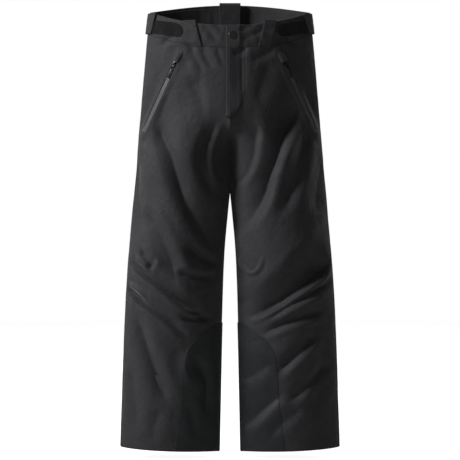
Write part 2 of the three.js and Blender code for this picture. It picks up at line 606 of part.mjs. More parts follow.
function waistAdjuster(side) {
  // The loop strip is sewn to the front waistband. Its inner end is round.
  const radius = PATCH_HEIGHT / 2;
  const strip = (off) => (a, b) => {
    const x = mix(tabFrontX[1] + 2, PATCH_TIP, a);
    const past = max(0, (PATCH_TIP + radius - x) / radius);
    const half = radius * sqrt(max(0.01, 1 - past ** 2));
    const middle = mix(-33, -47, a);
    return onFront(side * x, middle + half * (1 - 2 * b), off);
  };
  const pile = slab(14, 4, strip(patchLift + patchPile), strip(patchLift));
  add(nameOf(side, "adjuster_loop_strip"), pile, loopPile);

  const hook = (off) => (a, b) => {
    const x = mix(tabFrontX[1] + 3, tabFrontX[1] - 7, a);
    return onFront(side * x, mix(-17, -44, b), off);
  };
  add(nameOf(side, "adjuster_hook_strip"), slab(4, 4, hook(hookLift + hookPile), hook(hookLift)), loopPile);

  // The tab is sewn to the back waistband, wraps round the side seam and lies on the strips.
  const tab = (extra) => (a, b) => {
    const z = mix(-3, -WAISTBAND + 1, b);
    const front = uAt(FRONT, mix(tabFrontX[0], tabFrontX[1], b), z);
    const w = mix(-tabBack, front, a);
    const off = mix(0.5, tabLift, smooth((w + tabBack) / 0.2));
    return aroundSide(side, w, z, off + extra);
  };
  add(nameOf(side, "adjuster_tab"), slab(20, 4, tab(TAB_CLOTH), tab(0)), shellCloth);
  const ends = [-3, -WAISTBAND + 1].map((z) => aroundSide(side, -tabBack, z, 0.5));
  const axis = ends[0].clone().sub(ends[1]).normalize().multiplyScalar(side);
  pants.userData.joints[nameOf(side, "tab_open")] = { point: ends[0].toArray(), axis: axis.toArray() };
}

function beltLoop(side) {
  const [loopX0, loopX1] = BELT_LOOP_X;
  const top = waistEdge(FRONT, frontU(loopX0)) + 5;
  const bottom = waistSeam(FRONT, frontU(loopX1)) - 3;
  const layer = (extra) => (a, b) => {
    const x = mix(loopX0, loopX1, b) + BELT_LOOP_WIDTH * (a - 0.5);
    const off = mix(0.5, 2.6, smooth(min(b, 1 - b) * 5));
    return onFront(side * x, mix(top, bottom, b), off + extra);
  };
  add(nameOf(side, "front_suspender_loop"), slab(4, 10, layer(1.6), layer(0)), shellCloth);
}

// --- Lower legs ----------------------------------------------------------------------------------------------
const guardX = profile([[-GUARD_TOP, 30], [-GUARD_TOP - 48, 90], [-GUARD_TOP - 100, 107], [-GUARD_TOP - 172, 111],
  [hem, 126]]);

// The scuff guard wraps the inside of the leg, from its seam on the front to its seam on the back.
function scuffGuard(side) {
  const layer = (off) => (a, b) => {
    const face = a < 0.5 ? FRONT : BACK;
    const share = 1 - abs(2 * a - 1);
    const z = mix(-GUARD_TOP, hem + 3, b ** 1.5);
    const u = mix(uAt(face, guardX(z), z), 1, share);
    return cloth(side, face, u, z, off);
  };
  return slab(20, 12, layer(GUARD_LIFT + GUARD_CLOTH), layer(GUARD_LIFT));
}

// An oval tube inside a leg. Its width is a share of the leg's, its depth a share of the room between the panels.
function legTube(side, shape, top, bottom, inset, wall, rows) {
  const layer = (depthIn) => (a, b) => {
    const z = mix(top, bottom, b);
    const share = clamp01((z - shape.foot) / (shape.head - shape.foot));
    const [wide, middle] = [(outerX(z) - innerX(z)) / 2, (outerX(z) + innerX(z)) / 2];
    const room = (frontDepth(z) + backDepth(z)) / 2 - SHELL - shape.clearance;
    const halfWide = wide * mix(shape.width[1], shape.width[0], share) - depthIn;
    const halfDeep = room * mix(shape.depth[1], shape.depth[0], share) - depthIn;
    const angle = 2 * PI * a;
    const y = seamY(z) + (backDepth(z) - frontDepth(z)) / 2 + halfDeep * sin(angle);
    return new THREE.Vector3(side * (middle + halfWide * cos(angle)), y, z);
  };
  return slab(24, rows, layer(inset), layer(inset + wall), true);
}

function lowerLeg(side) {
  add(nameOf(side, "scuff_guard"), scuffGuard(side), guardCloth);
  const foot = hem + 30;
  const gaiter = { head: foot + GAITER_HEIGHT, foot, width: [0.72, 0.6], depth: [1, 0.86], clearance: 0.7 };
  add(nameOf(side, "snow_gaiter"), legTube(side, gaiter, gaiter.head, foot, 0, 1, 5), innerCloth);
  add(nameOf(side, "gaiter_elastic"), legTube(side, gaiter, foot + 24, foot + 1, 1 + LAY, 1, 1), elastic);
  const facing = { head: hem + HEM_FACING, foot: hem, width: [0.74, 0.74], depth: [1, 1], clearance: 0.7 };
  add(nameOf(side, "hem_facing"), legTube(side, facing, facing.head, hem + 2, 0, 0.8, 1), innerCloth);
}

// --- Assembly ------------------------------------------------------------------------------------------------
bothSides((side) => {
  const { slot, bag } = pocket(side);
  const tools = side === LEFT ? [slot, flyChannel()] : [slot];
  add(nameOf(side, "front_panel"), cut(legPanel(side, FRONT), ...tools), shellCloth);
  add(nameOf(side, "back_panel"), legPanel(side, BACK), shellCloth);
  add(nameOf(side, "pocket_bag"), bag, innerCloth);
  waistAdjuster(side);
  beltLoop(side);
  lowerLeg(side);
});
fly();
frontBand();
snap();
backOfWaist();
backLoop();

export default pants;
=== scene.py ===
import math

import bmesh
import bpy
import numpy as np
from bpy.props import FloatProperty, FloatVectorProperty, IntProperty, PointerProperty
from mathutils import Matrix, Vector


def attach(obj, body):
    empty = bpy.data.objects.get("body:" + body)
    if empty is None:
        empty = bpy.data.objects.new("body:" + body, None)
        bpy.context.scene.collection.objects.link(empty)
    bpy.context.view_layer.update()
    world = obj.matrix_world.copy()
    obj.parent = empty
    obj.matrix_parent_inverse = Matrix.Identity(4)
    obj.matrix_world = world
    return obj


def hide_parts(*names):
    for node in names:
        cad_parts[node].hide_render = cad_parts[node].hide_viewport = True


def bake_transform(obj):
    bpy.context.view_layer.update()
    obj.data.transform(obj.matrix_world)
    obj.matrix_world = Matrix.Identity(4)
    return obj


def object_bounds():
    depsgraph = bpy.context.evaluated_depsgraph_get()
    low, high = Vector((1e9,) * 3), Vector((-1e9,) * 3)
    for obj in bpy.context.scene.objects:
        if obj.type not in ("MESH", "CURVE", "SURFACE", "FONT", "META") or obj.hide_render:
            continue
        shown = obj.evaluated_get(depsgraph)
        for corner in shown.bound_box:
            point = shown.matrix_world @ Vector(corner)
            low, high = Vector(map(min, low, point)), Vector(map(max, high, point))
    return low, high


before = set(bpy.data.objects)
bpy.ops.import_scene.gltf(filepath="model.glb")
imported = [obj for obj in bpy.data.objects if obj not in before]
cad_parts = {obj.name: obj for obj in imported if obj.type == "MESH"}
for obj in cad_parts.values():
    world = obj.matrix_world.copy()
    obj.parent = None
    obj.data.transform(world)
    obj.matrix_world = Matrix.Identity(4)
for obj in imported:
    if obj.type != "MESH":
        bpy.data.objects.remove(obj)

bl_info = {
    "name": "Ski Pants",
    "version": (1, 0, 0),
    "blender": (4, 5, 0),
    "location": "3D View > Sidebar > Ski Pants",
    "description": "Builds insulated ski pants, piece by piece, around the packed model",
    "category": "Object",
}

CAD_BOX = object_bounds()
MM = 0.001
FRONT, BACK = -1, 1
RIGHT, LEFT = -1, 1
SIDES = {RIGHT: "right", LEFT: "left"}

# The pattern's sizes in millimetres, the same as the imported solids'. Heights count up from the waist at the
# side seams, and a drop is a distance below it. A distance across counts from the centre plane.
RISE, INSEAM, KNEE_DROP = 318, 692, 322
WAIST_WIDTH, SEAT_WIDTH, KNEE_SPREAD, HEM_WIDTH, LEG_GAP = 369, 426, 478, 230, 48
WAIST_DEPTH, SEAT_DEPTH, KNEE_DEPTH, HEM_DEPTH = 124, 172, 122, 106
KNEE_FORWARD, FRONT_DIP, BACK_RISE = 12, 36, 24
WAISTBAND, CROTCH_CURVE = 51, 75
SIDE_FOLD, SEAT_FULLNESS = 1.7, 1.1
FLY_BOTTOM, FLAP_EDGE, FLAP_ROOT, FLAP_CURVE = 248, -8.5, 31, 45
FLAP_THICK, OVERLAP_THICK = 1.8, 2.2
FLY_CHANNEL = 9.6  # the left front panel stops this far from the centre, beside the fly zip
# Each pocket zip's ends, as (distance across, drop).
ZIP_TOP, ZIP_BOTTOM = (113, 96), (197, 275)
SNAP_X, SNAP_DROP = 6.3, 59
GUARD_TOP = 712
CROTCH, KNEE, HEM = -RISE, -RISE - KNEE_DROP, -RISE - INSEAM
HEM_SLANT = 12


# --- Sizes and colours that a user would change ---------------------------------------------------
def length(name, description, default, low=0.0, high=0.1):
    return FloatProperty(name=name, description=description, default=default, min=low, max=high,
                         precision=4, unit="LENGTH", subtype="DISTANCE")


def colour(name, description, code):
    return FloatVectorProperty(name=name, description=description, default=linear(code), size=4,
                               min=0, max=1, subtype="COLOR")


def linear(code):
    """A hex sRGB colour as linear red, green, blue and alpha."""
    parts = [int(code[i:i + 2], 16) / 255 for i in (1, 3, 5)]
    return (*[c / 12.92 if c <= 0.04045 else ((c + 0.055) / 1.055) ** 2.4 for c in parts], 1.0)


class PantsSizes(bpy.types.PropertyGroup):
    shell: length("Shell", "Thickness of the shell, insulation and lining together", 0.003, 0.001, 0.008)
    band: length("Waistband", "Thickness of the folded waistband", 0.0034, 0.001, 0.008)
    mesh_step: length("Mesh step", "Distance between the cloth's mesh lines", 0.0036, 0.002, 0.02)
    fold_depth: FloatProperty(name="Fold depth", description="Depth of the folds, as a share of the listed",
                              default=1.3, min=0, max=2)
    stitch: length("Stitch", "Length of one topstitch", 0.0026, 0.001, 0.006)
    stitch_pitch: length("Stitch pitch", "Distance from one topstitch to the next", 0.0034, 0.002, 0.008)
    thread: length("Thread", "Thickness of the topstitching thread", 0.0005, 0.0002, 0.001)
    weave: length("Weave", "Distance between threads of the shell cloth", 0.0009, 0.0003, 0.003)
    exposed_tape: length("Exposed tape", "Width of the pocket zip's tape that shows", 0.0088, 0.003, 0.012)
    zip_teeth: IntProperty(name="Zip teeth", description="Turns of the coil along each zip",
                           default=90, min=20, max=200)


class PantsColours(bpy.types.PropertyGroup):
    shell: colour("Shell", "Woven shell cloth", "#312f32")
    guard: colour("Scuff guard", "Smooth tough cloth on the inner lower legs", "#232527")
    lining: colour("Lining", "Brushed lining inside the waist and legs", "#3b3a3d")
    pile: colour("Loop pile", "Fuzzy loop strips on the waistband", "#0f1110")
    tape: colour("Zip tape", "Film-coated zip tape", "#58595b")
    metal: colour("Zip metal", "Dark plated sliders and pulls", "#3d3c3a")
    snap: colour("Snap", "Lacquered snap cap", "#2a2b2c")
    thread: colour("Thread", "Topstitching thread", "#2c2b2e")
    floor: colour("Floor", "Pale studio floor", "#c8c8c8")


def sizes():
    return bpy.context.scene.pants_sizes


def colours():
    return bpy.context.scene.pants_colours


# --- The skin: the surface that every layer of cloth follows --------------------------------------
def smooth(t):
    t = np.clip(t, 0, 1)
    return t * t * (3 - 2 * t)


def mix(a, b, t):
    return a + (b - a) * t


def profile(*stations):
    """A smooth curve through (height, value) stations, listed from the top down."""
    level = np.array([s[0] for s in stations[::-1]], float)
    value = np.array([s[1] for s in stations[::-1]], float)
    slope = np.gradient(value)
    slope[1:-1] = (value[2:] - value[:-2]) / (level[2:] - level[:-2])
    slope[0] = (value[1] - value[0]) / (level[1] - level[0])
    slope[-1] = (value[-1] - value[-2]) / (level[-1] - level[-2])

    def curve(z):
        z = np.asarray(z, float)
        held = np.clip(z, level[0], level[-1])
        i = np.clip(np.searchsorted(level, held) - 1, 0, len(level) - 2)
        span = level[i + 1] - level[i]
        t = (held - level[i]) / span
        inside = ((2 * t**3 - 3 * t**2 + 1) * value[i] + (t**3 - 2 * t**2 + t) * span * slope[i]
                  + (3 * t**2 - 2 * t**3) * value[i + 1] + (t**3 - t**2) * span * slope[i + 1])
        beyond = np.where(z > held, slope[-1], slope[0]) * (z - held)
        return inside + beyond
    return curve


def belly(z):
    """The front falls straight from the waist to just below the fly."""
    return z, mix(WAIST_DEPTH / 2 - 2, SEAT_DEPTH / 2 - 8, -z / FLY_BOTTOM)


outer_x = profile((0, WAIST_WIDTH / 2), (-60, WAIST_WIDTH / 2 + 7), (CROTCH, SEAT_WIDTH / 2),
                  (KNEE, KNEE_SPREAD / 2), (HEM, LEG_GAP / 2 + HEM_WIDTH))
# The thighs touch just below the crotch.
inner_x = profile((CROTCH, -1.7), (CROTCH - 84, -1.5), (CROTCH - 122, 2), (CROTCH - 235, LEG_GAP / 4),
                  (KNEE - 80, LEG_GAP * 0.37), (HEM, LEG_GAP / 2))
front_depth = profile(belly(0), belly(-FLY_BOTTOM / 2), belly(-FLY_BOTTOM), belly(-FLY_BOTTOM - 20),
                      (CROTCH, SEAT_DEPTH / 2 - 5), (KNEE, KNEE_DEPTH / 2), (HEM, HEM_DEPTH / 2))
back_depth = profile((0, WAIST_DEPTH / 2 + 2), (-140, SEAT_DEPTH / 2 - 2), (CROTCH, SEAT_DEPTH / 2 + 6),
                     (KNEE, KNEE_DEPTH / 2 + 2), (HEM, HEM_DEPTH / 2))
seam_y = profile((0, 0), (CROTCH, 0), (KNEE, -KNEE_FORWARD), (HEM, KNEE_FORWARD / 2))


# Where the hips' form passes into the legs': the height above the crotch where it starts, and its fall.
CHANGE_AT_SIDE, CHANGE_BESIDE_CENTRE = (110, 200), (100, 150)


def skin(face, u, z):
    """The skin's x and y on the right half. u runs from 0 at the side seam to 1 at the centre or inseam.

    It is half an oval round the hips and a whole one round the leg. The change from one to the other is slow
    at the side and quick at the centre, where it is complete at the crotch.
    """
    outer, inner = outer_x(z), inner_x(z)
    deep = front_depth(z) if face == FRONT else back_depth(z)
    hip, leg = math.pi * (1 - u / 2), math.pi * (1 - u)
    sunk = np.clip((CROTCH + CROTCH_CURVE - z) / CROTCH_CURVE, 0, 1)
    turned = smooth(sunk**1.3)
    legs, beside = (smooth((CROTCH + start - z) / fall)
                    for start, fall in (CHANGE_AT_SIDE, CHANGE_BESIDE_CENTRE))
    split = mix(mix(legs, beside, u**3), turned, u**24)
    x = mix(outer * np.cos(hip), -(outer + inner) / 2 + (outer - inner) / 2 * np.cos(leg), split)
    y = face * deep * mix(np.abs(np.sin(hip))**SIDE_FOLD, np.abs(np.sin(leg))**SIDE_FOLD, split)
    full = 1 + SEAT_FULLNESS * legs * (1 - legs) * np.sin(math.pi * u)**2
    return x, y * full + seam_y(z)


def cloth(side, face, u, z, off=0.0):
    """Points that lie off from the skin, outwards where off is positive."""
    u, z, off = np.broadcast_arrays(np.asarray(u, float), np.asarray(z, float), np.asarray(off, float))
    ahead, behind = skin(face, np.minimum(u + 1e-3, 1), z), skin(face, np.maximum(u - 1e-3, 0), z)
    above, below = skin(face, u, z + 1), skin(face, u, z - 1)
    ax, ay = ahead[0] - behind[0], ahead[1] - behind[1]
    bx, by = above[0] - below[0], above[1] - below[1]
    normal = np.stack([2 * ay, -2 * ax, ax * by - ay * bx], -1) * -face
    normal /= np.linalg.norm(normal, axis=-1, keepdims=True)
    x, y = skin(face, u, z)
    points = np.stack([x, y, z], -1) + normal * off[..., None]
    points[..., 0] *= -side
    return points


def u_at(face, x, z):
    """The u of a distance from the centre plane, found by halving."""
    x, z = np.broadcast_arrays(np.abs(np.asarray(x, float)), np.asarray(z, float))
    low, high = np.zeros(x.shape), np.ones(x.shape)
    for _ in range(32):
        middle = (low + high) / 2
        outside = skin(face, middle, z)[0] < -x
        low, high = np.where(outside, middle, low), np.where(outside, high, middle)
    return (low + high) / 2


def waist_edge(face, u):
    """The height of the waistband's top edge, which dips at the front and rises at the back."""
    return (-FRONT_DIP if face == FRONT else BACK_RISE) * np.sin(math.pi / 2 * u)**2


def waist_seam(face, u):
    """The height of the seam between the waistband and the panels."""
    return waist_edge(face, u) - WAISTBAND


def front_u(x):
    """The u of a distance across, at the front of the waist."""
    return u_at(FRONT, x, -FRONT_DIP)


# Distance along the cloth from the side seam, tabulated over the height and u.
LEVEL_STEP, SHARE_STEPS = 5.0, 240
LEVELS = np.arange(-1030, 41, LEVEL_STEP)
SHARES = np.linspace(0, 1, SHARE_STEPS + 1)


def girths(face):
    """The table of distances for one face: a row for each level and a column for each share."""
    x, y = skin(face, SHARES[None, :], LEVELS[:, None])
    step = np.hypot(np.diff(x, axis=1), np.diff(y, axis=1))
    return np.concatenate([np.zeros((len(LEVELS), 1)), np.cumsum(step, axis=1)], axis=1)


GIRTH = {FRONT: girths(FRONT), BACK: girths(BACK)}


def around(face, u, z):
    """Millimetres along the cloth from the side seam: positive on the front, negative on the back."""
    j = np.clip((z - LEVELS[0]) / LEVEL_STEP, 0, len(LEVELS) - 1.001)
    i = np.clip(np.asarray(u) * SHARE_STEPS, 0, SHARE_STEPS - 0.001)
    j0, i0 = j.astype(int), i.astype(int)
    fj, fi = j - j0, i - i0
    table = GIRTH[face]
    top = mix(table[j0, i0], table[j0, i0 + 1], fi)
    bottom = mix(table[j0 + 1, i0], table[j0 + 1, i0 + 1], fi)
    return -face * mix(top, bottom, fj)


def chart(face, u, z):
    """Like around, but it runs on evenly past the crotch, where the cloth turns inwards."""
    middle = np.full(np.shape(u), 0.5)
    x, held = skin(face, u, z)[0], skin(face, middle, z)[0]
    past = around(face, middle, z) - face * (x - held)
    return np.where(np.asarray(u) < 0.5, around(face, u, z), past)


# --- Folds ----------------------------------------------------------------------------------------
# Each fold is a line on one leg's cloth, listed from its top end: (face, [(distance across, drop), ...],
# depth, left width, right width, left lift, right lift). The depth is positive for a valley and negative for
# a ridge. Left and right are those of someone who looks at the cloth from outside. A lift is a ridge beside
# the valley, as a share of its depth. A narrow side is steep, and a wide side rises gently.
RIGHT_FOLDS = [
    (FRONT, [(184, 214), (176, 262), (151, 322), (124, 385), (97, 440), (62, 498), (26, 552)],
     13, 17, 27, 0.2, 0.1),
    (FRONT, [(24, 236), (44, 284), (56, 332), (50, 385), (26, 432)], 8, 13, 8, 0.2, 0.6),
    (FRONT, [(84, 90), (74, 116), (56, 148)], 2.4, 8, 8, 0.3, 0.3),
    (FRONT, [(100, 150), (62, 206), (18, 262)], 3.4, 24, 26, 0.2, 0.2),
    (FRONT, [(196, 446), (166, 500), (134, 566), (119, 640)], 7, 26, 13, 0.1, 0.45),
    (FRONT, [(98, 530), (66, 558), (26, 580)], 9, 15, 8, 0.2, 0.25),
    (FRONT, [(122, 592), (76, 606), (24, 604)], 8, 13, 8, 0.2, 0.35),
    (FRONT, [(230, 572), (166, 617), (104, 665), (40, 708)], 11, 7, 13, 0.5, 0.25),
    (FRONT, [(206, 548), (186, 568), (176, 592)], 7, 7, 8, 0.4, 0.35),
    (FRONT, [(168, 560), (178, 580), (190, 592)], 3.5, 7, 7, 0.3, 0.3),
    (FRONT, [(242, 630), (199, 664), (162, 686), (132, 709), (88, 747)], 10, 7, 12, 0.45, 0.3),
    (FRONT, [(230, 622), (206, 640), (188, 662)], -4.6, 6, 6, 0.35, 0.35),
    (FRONT, [(116, 694), (88, 702), (32, 700)], 6, 7, 8, 0.3, 0.3),
    (FRONT, [(220, 690), (200, 745), (179, 800), (157, 857), (134, 915)], 9, 14, 16, 0.2, 0.4),
    (FRONT, [(228, 320), (214, 400), (208, 470), (214, 530)], 3.5, 18, 18, 0.2, 0.2),
    (FRONT, [(226, 810), (220, 880), (210, 960)], 3, 14, 14, 0.3, 0.2),
    (FRONT, [(158, 900), (172, 950), (176, 990)], 2.5, 14, 14, 0.3, 0.2),
    (FRONT, [(88, 770), (102, 806), (92, 862)], -4.6, 12, 13, 0.2, 0.3),
    (FRONT, [(74, 786), (52, 850), (56, 940)], 5, 15, 12, 0.2, 0.2),
    (FRONT, [(104, 890), (84, 930), (78, 985)], 2.4, 10, 12, 0.3, 0.2),
    (FRONT, [(150, 120), (166, 190), (186, 240)], 2, 14, 14, 0.2, 0.3),
]
LEFT_FOLDS = [
    (FRONT, [(186, 184), (150, 240), (116, 304), (92, 362), (73, 418), (50, 466), (20, 520)],
     14, 23, 14, 0.15, 0.3),
    (FRONT, [(64, 252), (55, 298), (45, 342), (32, 376), (8, 404)], 6, 12, 8, 0.25, 0.4),
    (FRONT, [(190, 250), (176, 318), (160, 378), (134, 430), (104, 486)], 7, 22, 12, 0.1, 0.3),
    (FRONT, [(254, 566), (202, 606), (150, 642), (100, 672), (30, 706)], 20, 44, 6, 0.1, 0.28),
    (FRONT, [(206, 486), (172, 520), (120, 566), (70, 622), (36, 666)], -3, 16, 20, 0.2, 0.2),
    (FRONT, [(24, 552), (28, 582), (46, 598), (66, 588), (78, 552)], -2.6, 4, 4, 0.4, 0.4),
    (FRONT, [(236, 618), (166, 654), (114, 683), (66, 714)], 9, 13, 7, 0.2, 0.3),
    (FRONT, [(222, 680), (140, 706), (62, 740)], 7, 11, 8, 0.25, 0.35),
    (FRONT, [(204, 732), (150, 784), (96, 836)], 8, 15, 9, 0.15, 0.4),
    (FRONT, [(232, 800), (180, 850), (124, 902)], 6, 16, 9, 0.15, 0.35),
    (FRONT, [(222, 330), (204, 400), (196, 470)], 3, 18, 18, 0.2, 0.2),
    (FRONT, [(226, 780), (206, 850), (196, 930)], 3.2, 16, 16, 0.2, 0.3),
    (FRONT, [(112, 796), (70, 818), (26, 850)], 3, 17, 13, 0.15, 0.2),
    (FRONT, [(130, 862), (76, 908), (22, 962)], 6, 26, 12, 0.1, 0.2),
    (FRONT, [(168, 902), (120, 940), (84, 976)], 3, 15, 11, 0.15, 0.3),
    (FRONT, [(92, 110), (76, 160), (50, 214)], 3, 18, 18, 0.2, 0.2),
]
BACK_FOLDS = [
    (BACK, [(150, 300), (100, 352), (56, 380), (20, 392)], 8, 14, 14, 0.35, 0.3),
    (BACK, [(120, 372), (76, 408), (34, 424)], 5, 11, 11, 0.3, 0.3),
    (BACK, [(190, 250), (176, 330), (160, 420)], 4, 16, 16, 0.3, 0.3),
    (BACK, [(70, 110), (66, 170), (88, 230)], 3, 20, 20, 0.2, 0.2),
    (BACK, [(214, 560), (160, 600), (100, 618), (46, 606)], 8.5, 11, 14, 0.45, 0.35),
    (BACK, [(220, 622), (168, 650), (108, 658), (50, 640)], 8, 14, 10, 0.35, 0.4),
    (BACK, [(210, 690), (150, 706), (96, 696)], 5.5, 10, 10, 0.3, 0.3),
    (BACK, [(204, 760), (170, 830), (150, 905)], 4.5, 14, 14, 0.2, 0.4),
    (BACK, [(90, 760), (104, 840), (96, 930)], 3, 14, 14, 0.3, 0.2),
    (BACK, [(130, 450), (110, 510), (120, 560)], 4, 16, 16, 0.2, 0.2),
]
# Folds that the seams and fasteners near them don't smooth out.
RIGHT_HELD = [
    (FRONT, [(162, 84), (140, 64), (112, 62), (90, 80), (78, 112)], 3.2, 8, 8, 0.7, 0.2),
    (FRONT, [(66, 82), (54, 112), (36, 140)], 2.4, 8, 9, 0.3, 0.3),
    (FRONT, [(66, 34), (46, 52), (26, 78)], 1.8, 5, 7, 0.4, 0.4),
    (FRONT, [(36, 30), (26, 42), (16, 48)], 1.6, 4, 5, 0.3, 0.4),
    (FRONT, [(30, 84), (22, 110), (12, 128)], 1.2, 5, 5, 0.4, 0.3),
]
LEFT_HELD = [
    (FRONT, [(25, 60), (25, 110), (25, 160), (24, 206)], 2.6, 20, 9, 0.3, 0.2),
    (FRONT, [(40, 84), (22, 97), (-2, 99)], 2.2, 7, 8, 0.3, 0.3),
    (FRONT, [(16, 52), (36, 42), (62, 30)], 1.6, 5, 5, 0.4, 0.4),
    (FRONT, [(22, 68), (50, 60), (84, 40)], 1.8, 5, 7, 0.4, 0.4),
    (FRONT, [(104, 82), (72, 104), (44, 118)], 2.6, 8, 9, 0.3, 0.3),
    (FRONT, [(154, 84), (136, 66), (112, 64), (94, 84)], 2.6, 8, 8, 0.5, 0.2),
]
FOLD_STEP = 6.0  # distance between the points of a fold's line
# A fold's section, in widths: how far it reaches, where the ridge beside it stands and how wide that is.
FOLD_REACH, RIDGE_PLACE, RIDGE_WIDTH = 4.2, 1.9, 1.15
VALLEY_ROUNDNESS = 1.35
# A fold fades in and out over these shares of its length.
FADE_IN, FADE_OUT = 0.22, 0.3
THIGH_EASE, THIGH_EASE_SPREAD = 14, 110  # how far the cloth hangs inside the smooth form over the thighs
ZIP_SETBACK = 0.7  # how far the cloth lies above a pocket zip's own plane
ZIP_LIFT = 1.6  # the most that the cloth is raised to meet a zip
ZIP_MARGIN = 40  # how far above and below a zip the cloth is looked at
ZIP_HEIGHT = 1.1  # how far a pocket zip's plane lies off the skin


def smooth_path(points, step=FOLD_STEP):
    """A curve through a few points, as points a step apart."""
    points = np.array(points, float)
    padded = np.vstack([2 * points[0] - points[1], points, 2 * points[-1] - points[-2]])
    track = []
    for i in range(len(points) - 1):
        a, b, c, d = padded[i:i + 4]
        count = max(2, int(np.linalg.norm(c - b) / step))
        t = np.linspace(0, 1, count, endpoint=False)[:, None]
        track.append(0.5 * (2 * b + (c - a) * t + (2 * a - 5 * b + 4 * c - d) * t**2
                            + (3 * b - a - 3 * c + d) * t**3))
    return np.vstack([*track, points[-1:]])


def value_noise(x, y, seed):
    """Smooth random bumps about 1 apart, from -1 to 1."""
    size = 64
    table = np.random.default_rng(seed).uniform(-1, 1, (size, size))
    x0, y0 = np.floor(x).astype(int), np.floor(y).astype(int)
    fx, fy = smooth(x - x0), smooth(y - y0)

    def corner(i, j):
        return table[(x0 + i) % size, (y0 + j) % size]
    return mix(mix(corner(0, 0), corner(1, 0), fx), mix(corner(0, 1), corner(1, 1), fx), fy)


def fold_lines(folds_listed):
    """Listed folds as smooth lines on the chart, each with its depth, widths and lifts."""
    lines = []
    for face, points, *shape in folds_listed:
        xs, zs = np.array([p[0] for p in points], float), -np.array([p[1] for p in points], float)
        lines.append((smooth_path(np.stack([chart(face, u_at(face, xs, zs), zs), zs], 1)), *shape))
    return lines


FREE_FOLDS = {RIGHT: fold_lines(RIGHT_FOLDS + BACK_FOLDS), LEFT: fold_lines(LEFT_FOLDS + BACK_FOLDS)}
HELD_FOLDS = {RIGHT: fold_lines(RIGHT_HELD), LEFT: fold_lines(LEFT_HELD)}


def fold_push(lines, side, h, z):
    """How far a list of folds pushes the cloth at places on the chart."""
    push = np.zeros(h.shape)
    for track, depth, left_width, right_width, left_lift, right_lift in lines:
        reach = FOLD_REACH * max(left_width, right_width)
        near = ((h > track[:, 0].min() - reach) & (h < track[:, 0].max() + reach)
                & (z > track[:, 1].min() - reach) & (z < track[:, 1].max() + reach))
        if not near.any():
            continue
        p = np.stack([h[near], z[near]], 1)
        gap = p[:, None, :] - track[None, :, :]
        square = (gap**2).sum(-1)
        nearest = square.argmin(1)
        run = np.gradient(track, axis=0)[nearest]
        run /= np.linalg.norm(run, axis=1, keepdims=True)
        to = gap[np.arange(len(p)), nearest]
        slide = np.clip((to * run).sum(-1), -FOLD_STEP / 2, FOLD_STEP / 2)
        to = to - run * slide[:, None]
        # The chart runs from the side seam to the centre, so the left leg's is a mirror image.
        on_right = (run[:, 0] * to[:, 1] - run[:, 1] * to[:, 0]) * -side > 0
        apart = np.linalg.norm(to, axis=1) / np.where(on_right, right_width, left_width)
        along = (nearest + slide / FOLD_STEP) / (len(track) - 1)
        fade = smooth(along / FADE_IN) * smooth((1 - along) / FADE_OUT)
        ridge = np.where(on_right, right_lift, left_lift) * np.exp(-((apart - RIDGE_PLACE) / RIDGE_WIDTH)**2)
        push[near] += depth * fade * (ridge - np.exp(-apart**VALLEY_ROUNDNESS))
    return push


def folds(side, face, u, z):
    """How far the folds push the cloth off the skin, in millimetres."""
    u, z = np.broadcast_arrays(np.asarray(u, float), np.asarray(z, float))
    shape, u, z = u.shape, u.ravel(), z.ravel()
    h = chart(face, u, z)
    push = fold_push(FREE_FOLDS[side], side, h, z)
    # Slow waves, slanting ripples and fine creases keep the open cloth from lying too evenly.
    seed = 3 if side == RIGHT else 11
    warp = 9 * value_noise(h / 60, z / 70, seed)
    push += 1.0 * value_noise((h + warp) / 55, (z - warp) / 95, seed + 1)
    push += 0.55 * value_noise((h + z * 0.35 + warp) / 21, z / 34, seed + 2)
    push += 0.22 * value_noise(h / 8, (z + h * 0.3) / 10, seed + 3)
    push *= calm(face, u, around(face, u, z), z)
    held = fold_push(HELD_FOLDS[side], side, h, z)
    push = (push + held) * sizes().fold_depth
    band = z > waist_seam(face, u)
    push[band] = (held + band_shape(face, u, h, z))[band]
    if face == FRONT:
        push -= THIGH_EASE * np.exp(-(np.abs(z - CROTCH) / THIGH_EASE_SPREAD)**2) * np.sin(math.pi * u)**3
        near = (z < -ZIP_TOP[1] + ZIP_MARGIN) & (z > -ZIP_BOTTOM[1] - ZIP_MARGIN) & ~band
        flat, hold = flat_at_zip(side, u[near], z[near])
        push[near] = mix(push[near], flat, hold)
    return push.reshape(shape)


def frame_between(start, end, away):
    """A zip's frame: its corner, its directions (x across it, y down it, z off the cloth) and its length."""
    run = np.linalg.norm(end - start)
    y = (end - start) / run
    z = away - y * (away @ y)
    z /= np.linalg.norm(z)
    return start, np.stack([np.cross(y, z), y, z]), run


def on_skin(side, x, z, off):
    """A point on the front at a distance across."""
    return cloth(side, FRONT, u_at(FRONT, x, z), z, off)


def zip_frame(side):
    """The pocket zip's frame."""
    (x0, d0), (x1, d1) = ZIP_TOP, ZIP_BOTTOM
    middle = ((x0 + x1) / 2, -(d0 + d1) / 2)
    away = on_skin(side, *middle, 1) - on_skin(side, *middle, 0)
    return frame_between(on_skin(side, x0, -d0, ZIP_HEIGHT), on_skin(side, x1, -d1, ZIP_HEIGHT), away)


ZIP_FRAMES = {}


def flat_at_zip(side, u, z):
    """What brings the cloth round a pocket zip to the zip's own plane, and how firmly it is held there."""
    if side not in ZIP_FRAMES:
        ZIP_FRAMES[side] = zip_frame(side)
    start, turn, run = ZIP_FRAMES[side]
    local = (cloth(side, FRONT, u, z) - start) @ turn.T
    past = np.maximum(np.abs(local[:, 1] - run / 2) - run / 2 - 3, 0)
    reach = np.hypot(local[:, 0], past)
    return np.minimum(ZIP_SETBACK - local[:, 2], ZIP_LIFT), 1 - smooth((reach - 6) / 14)


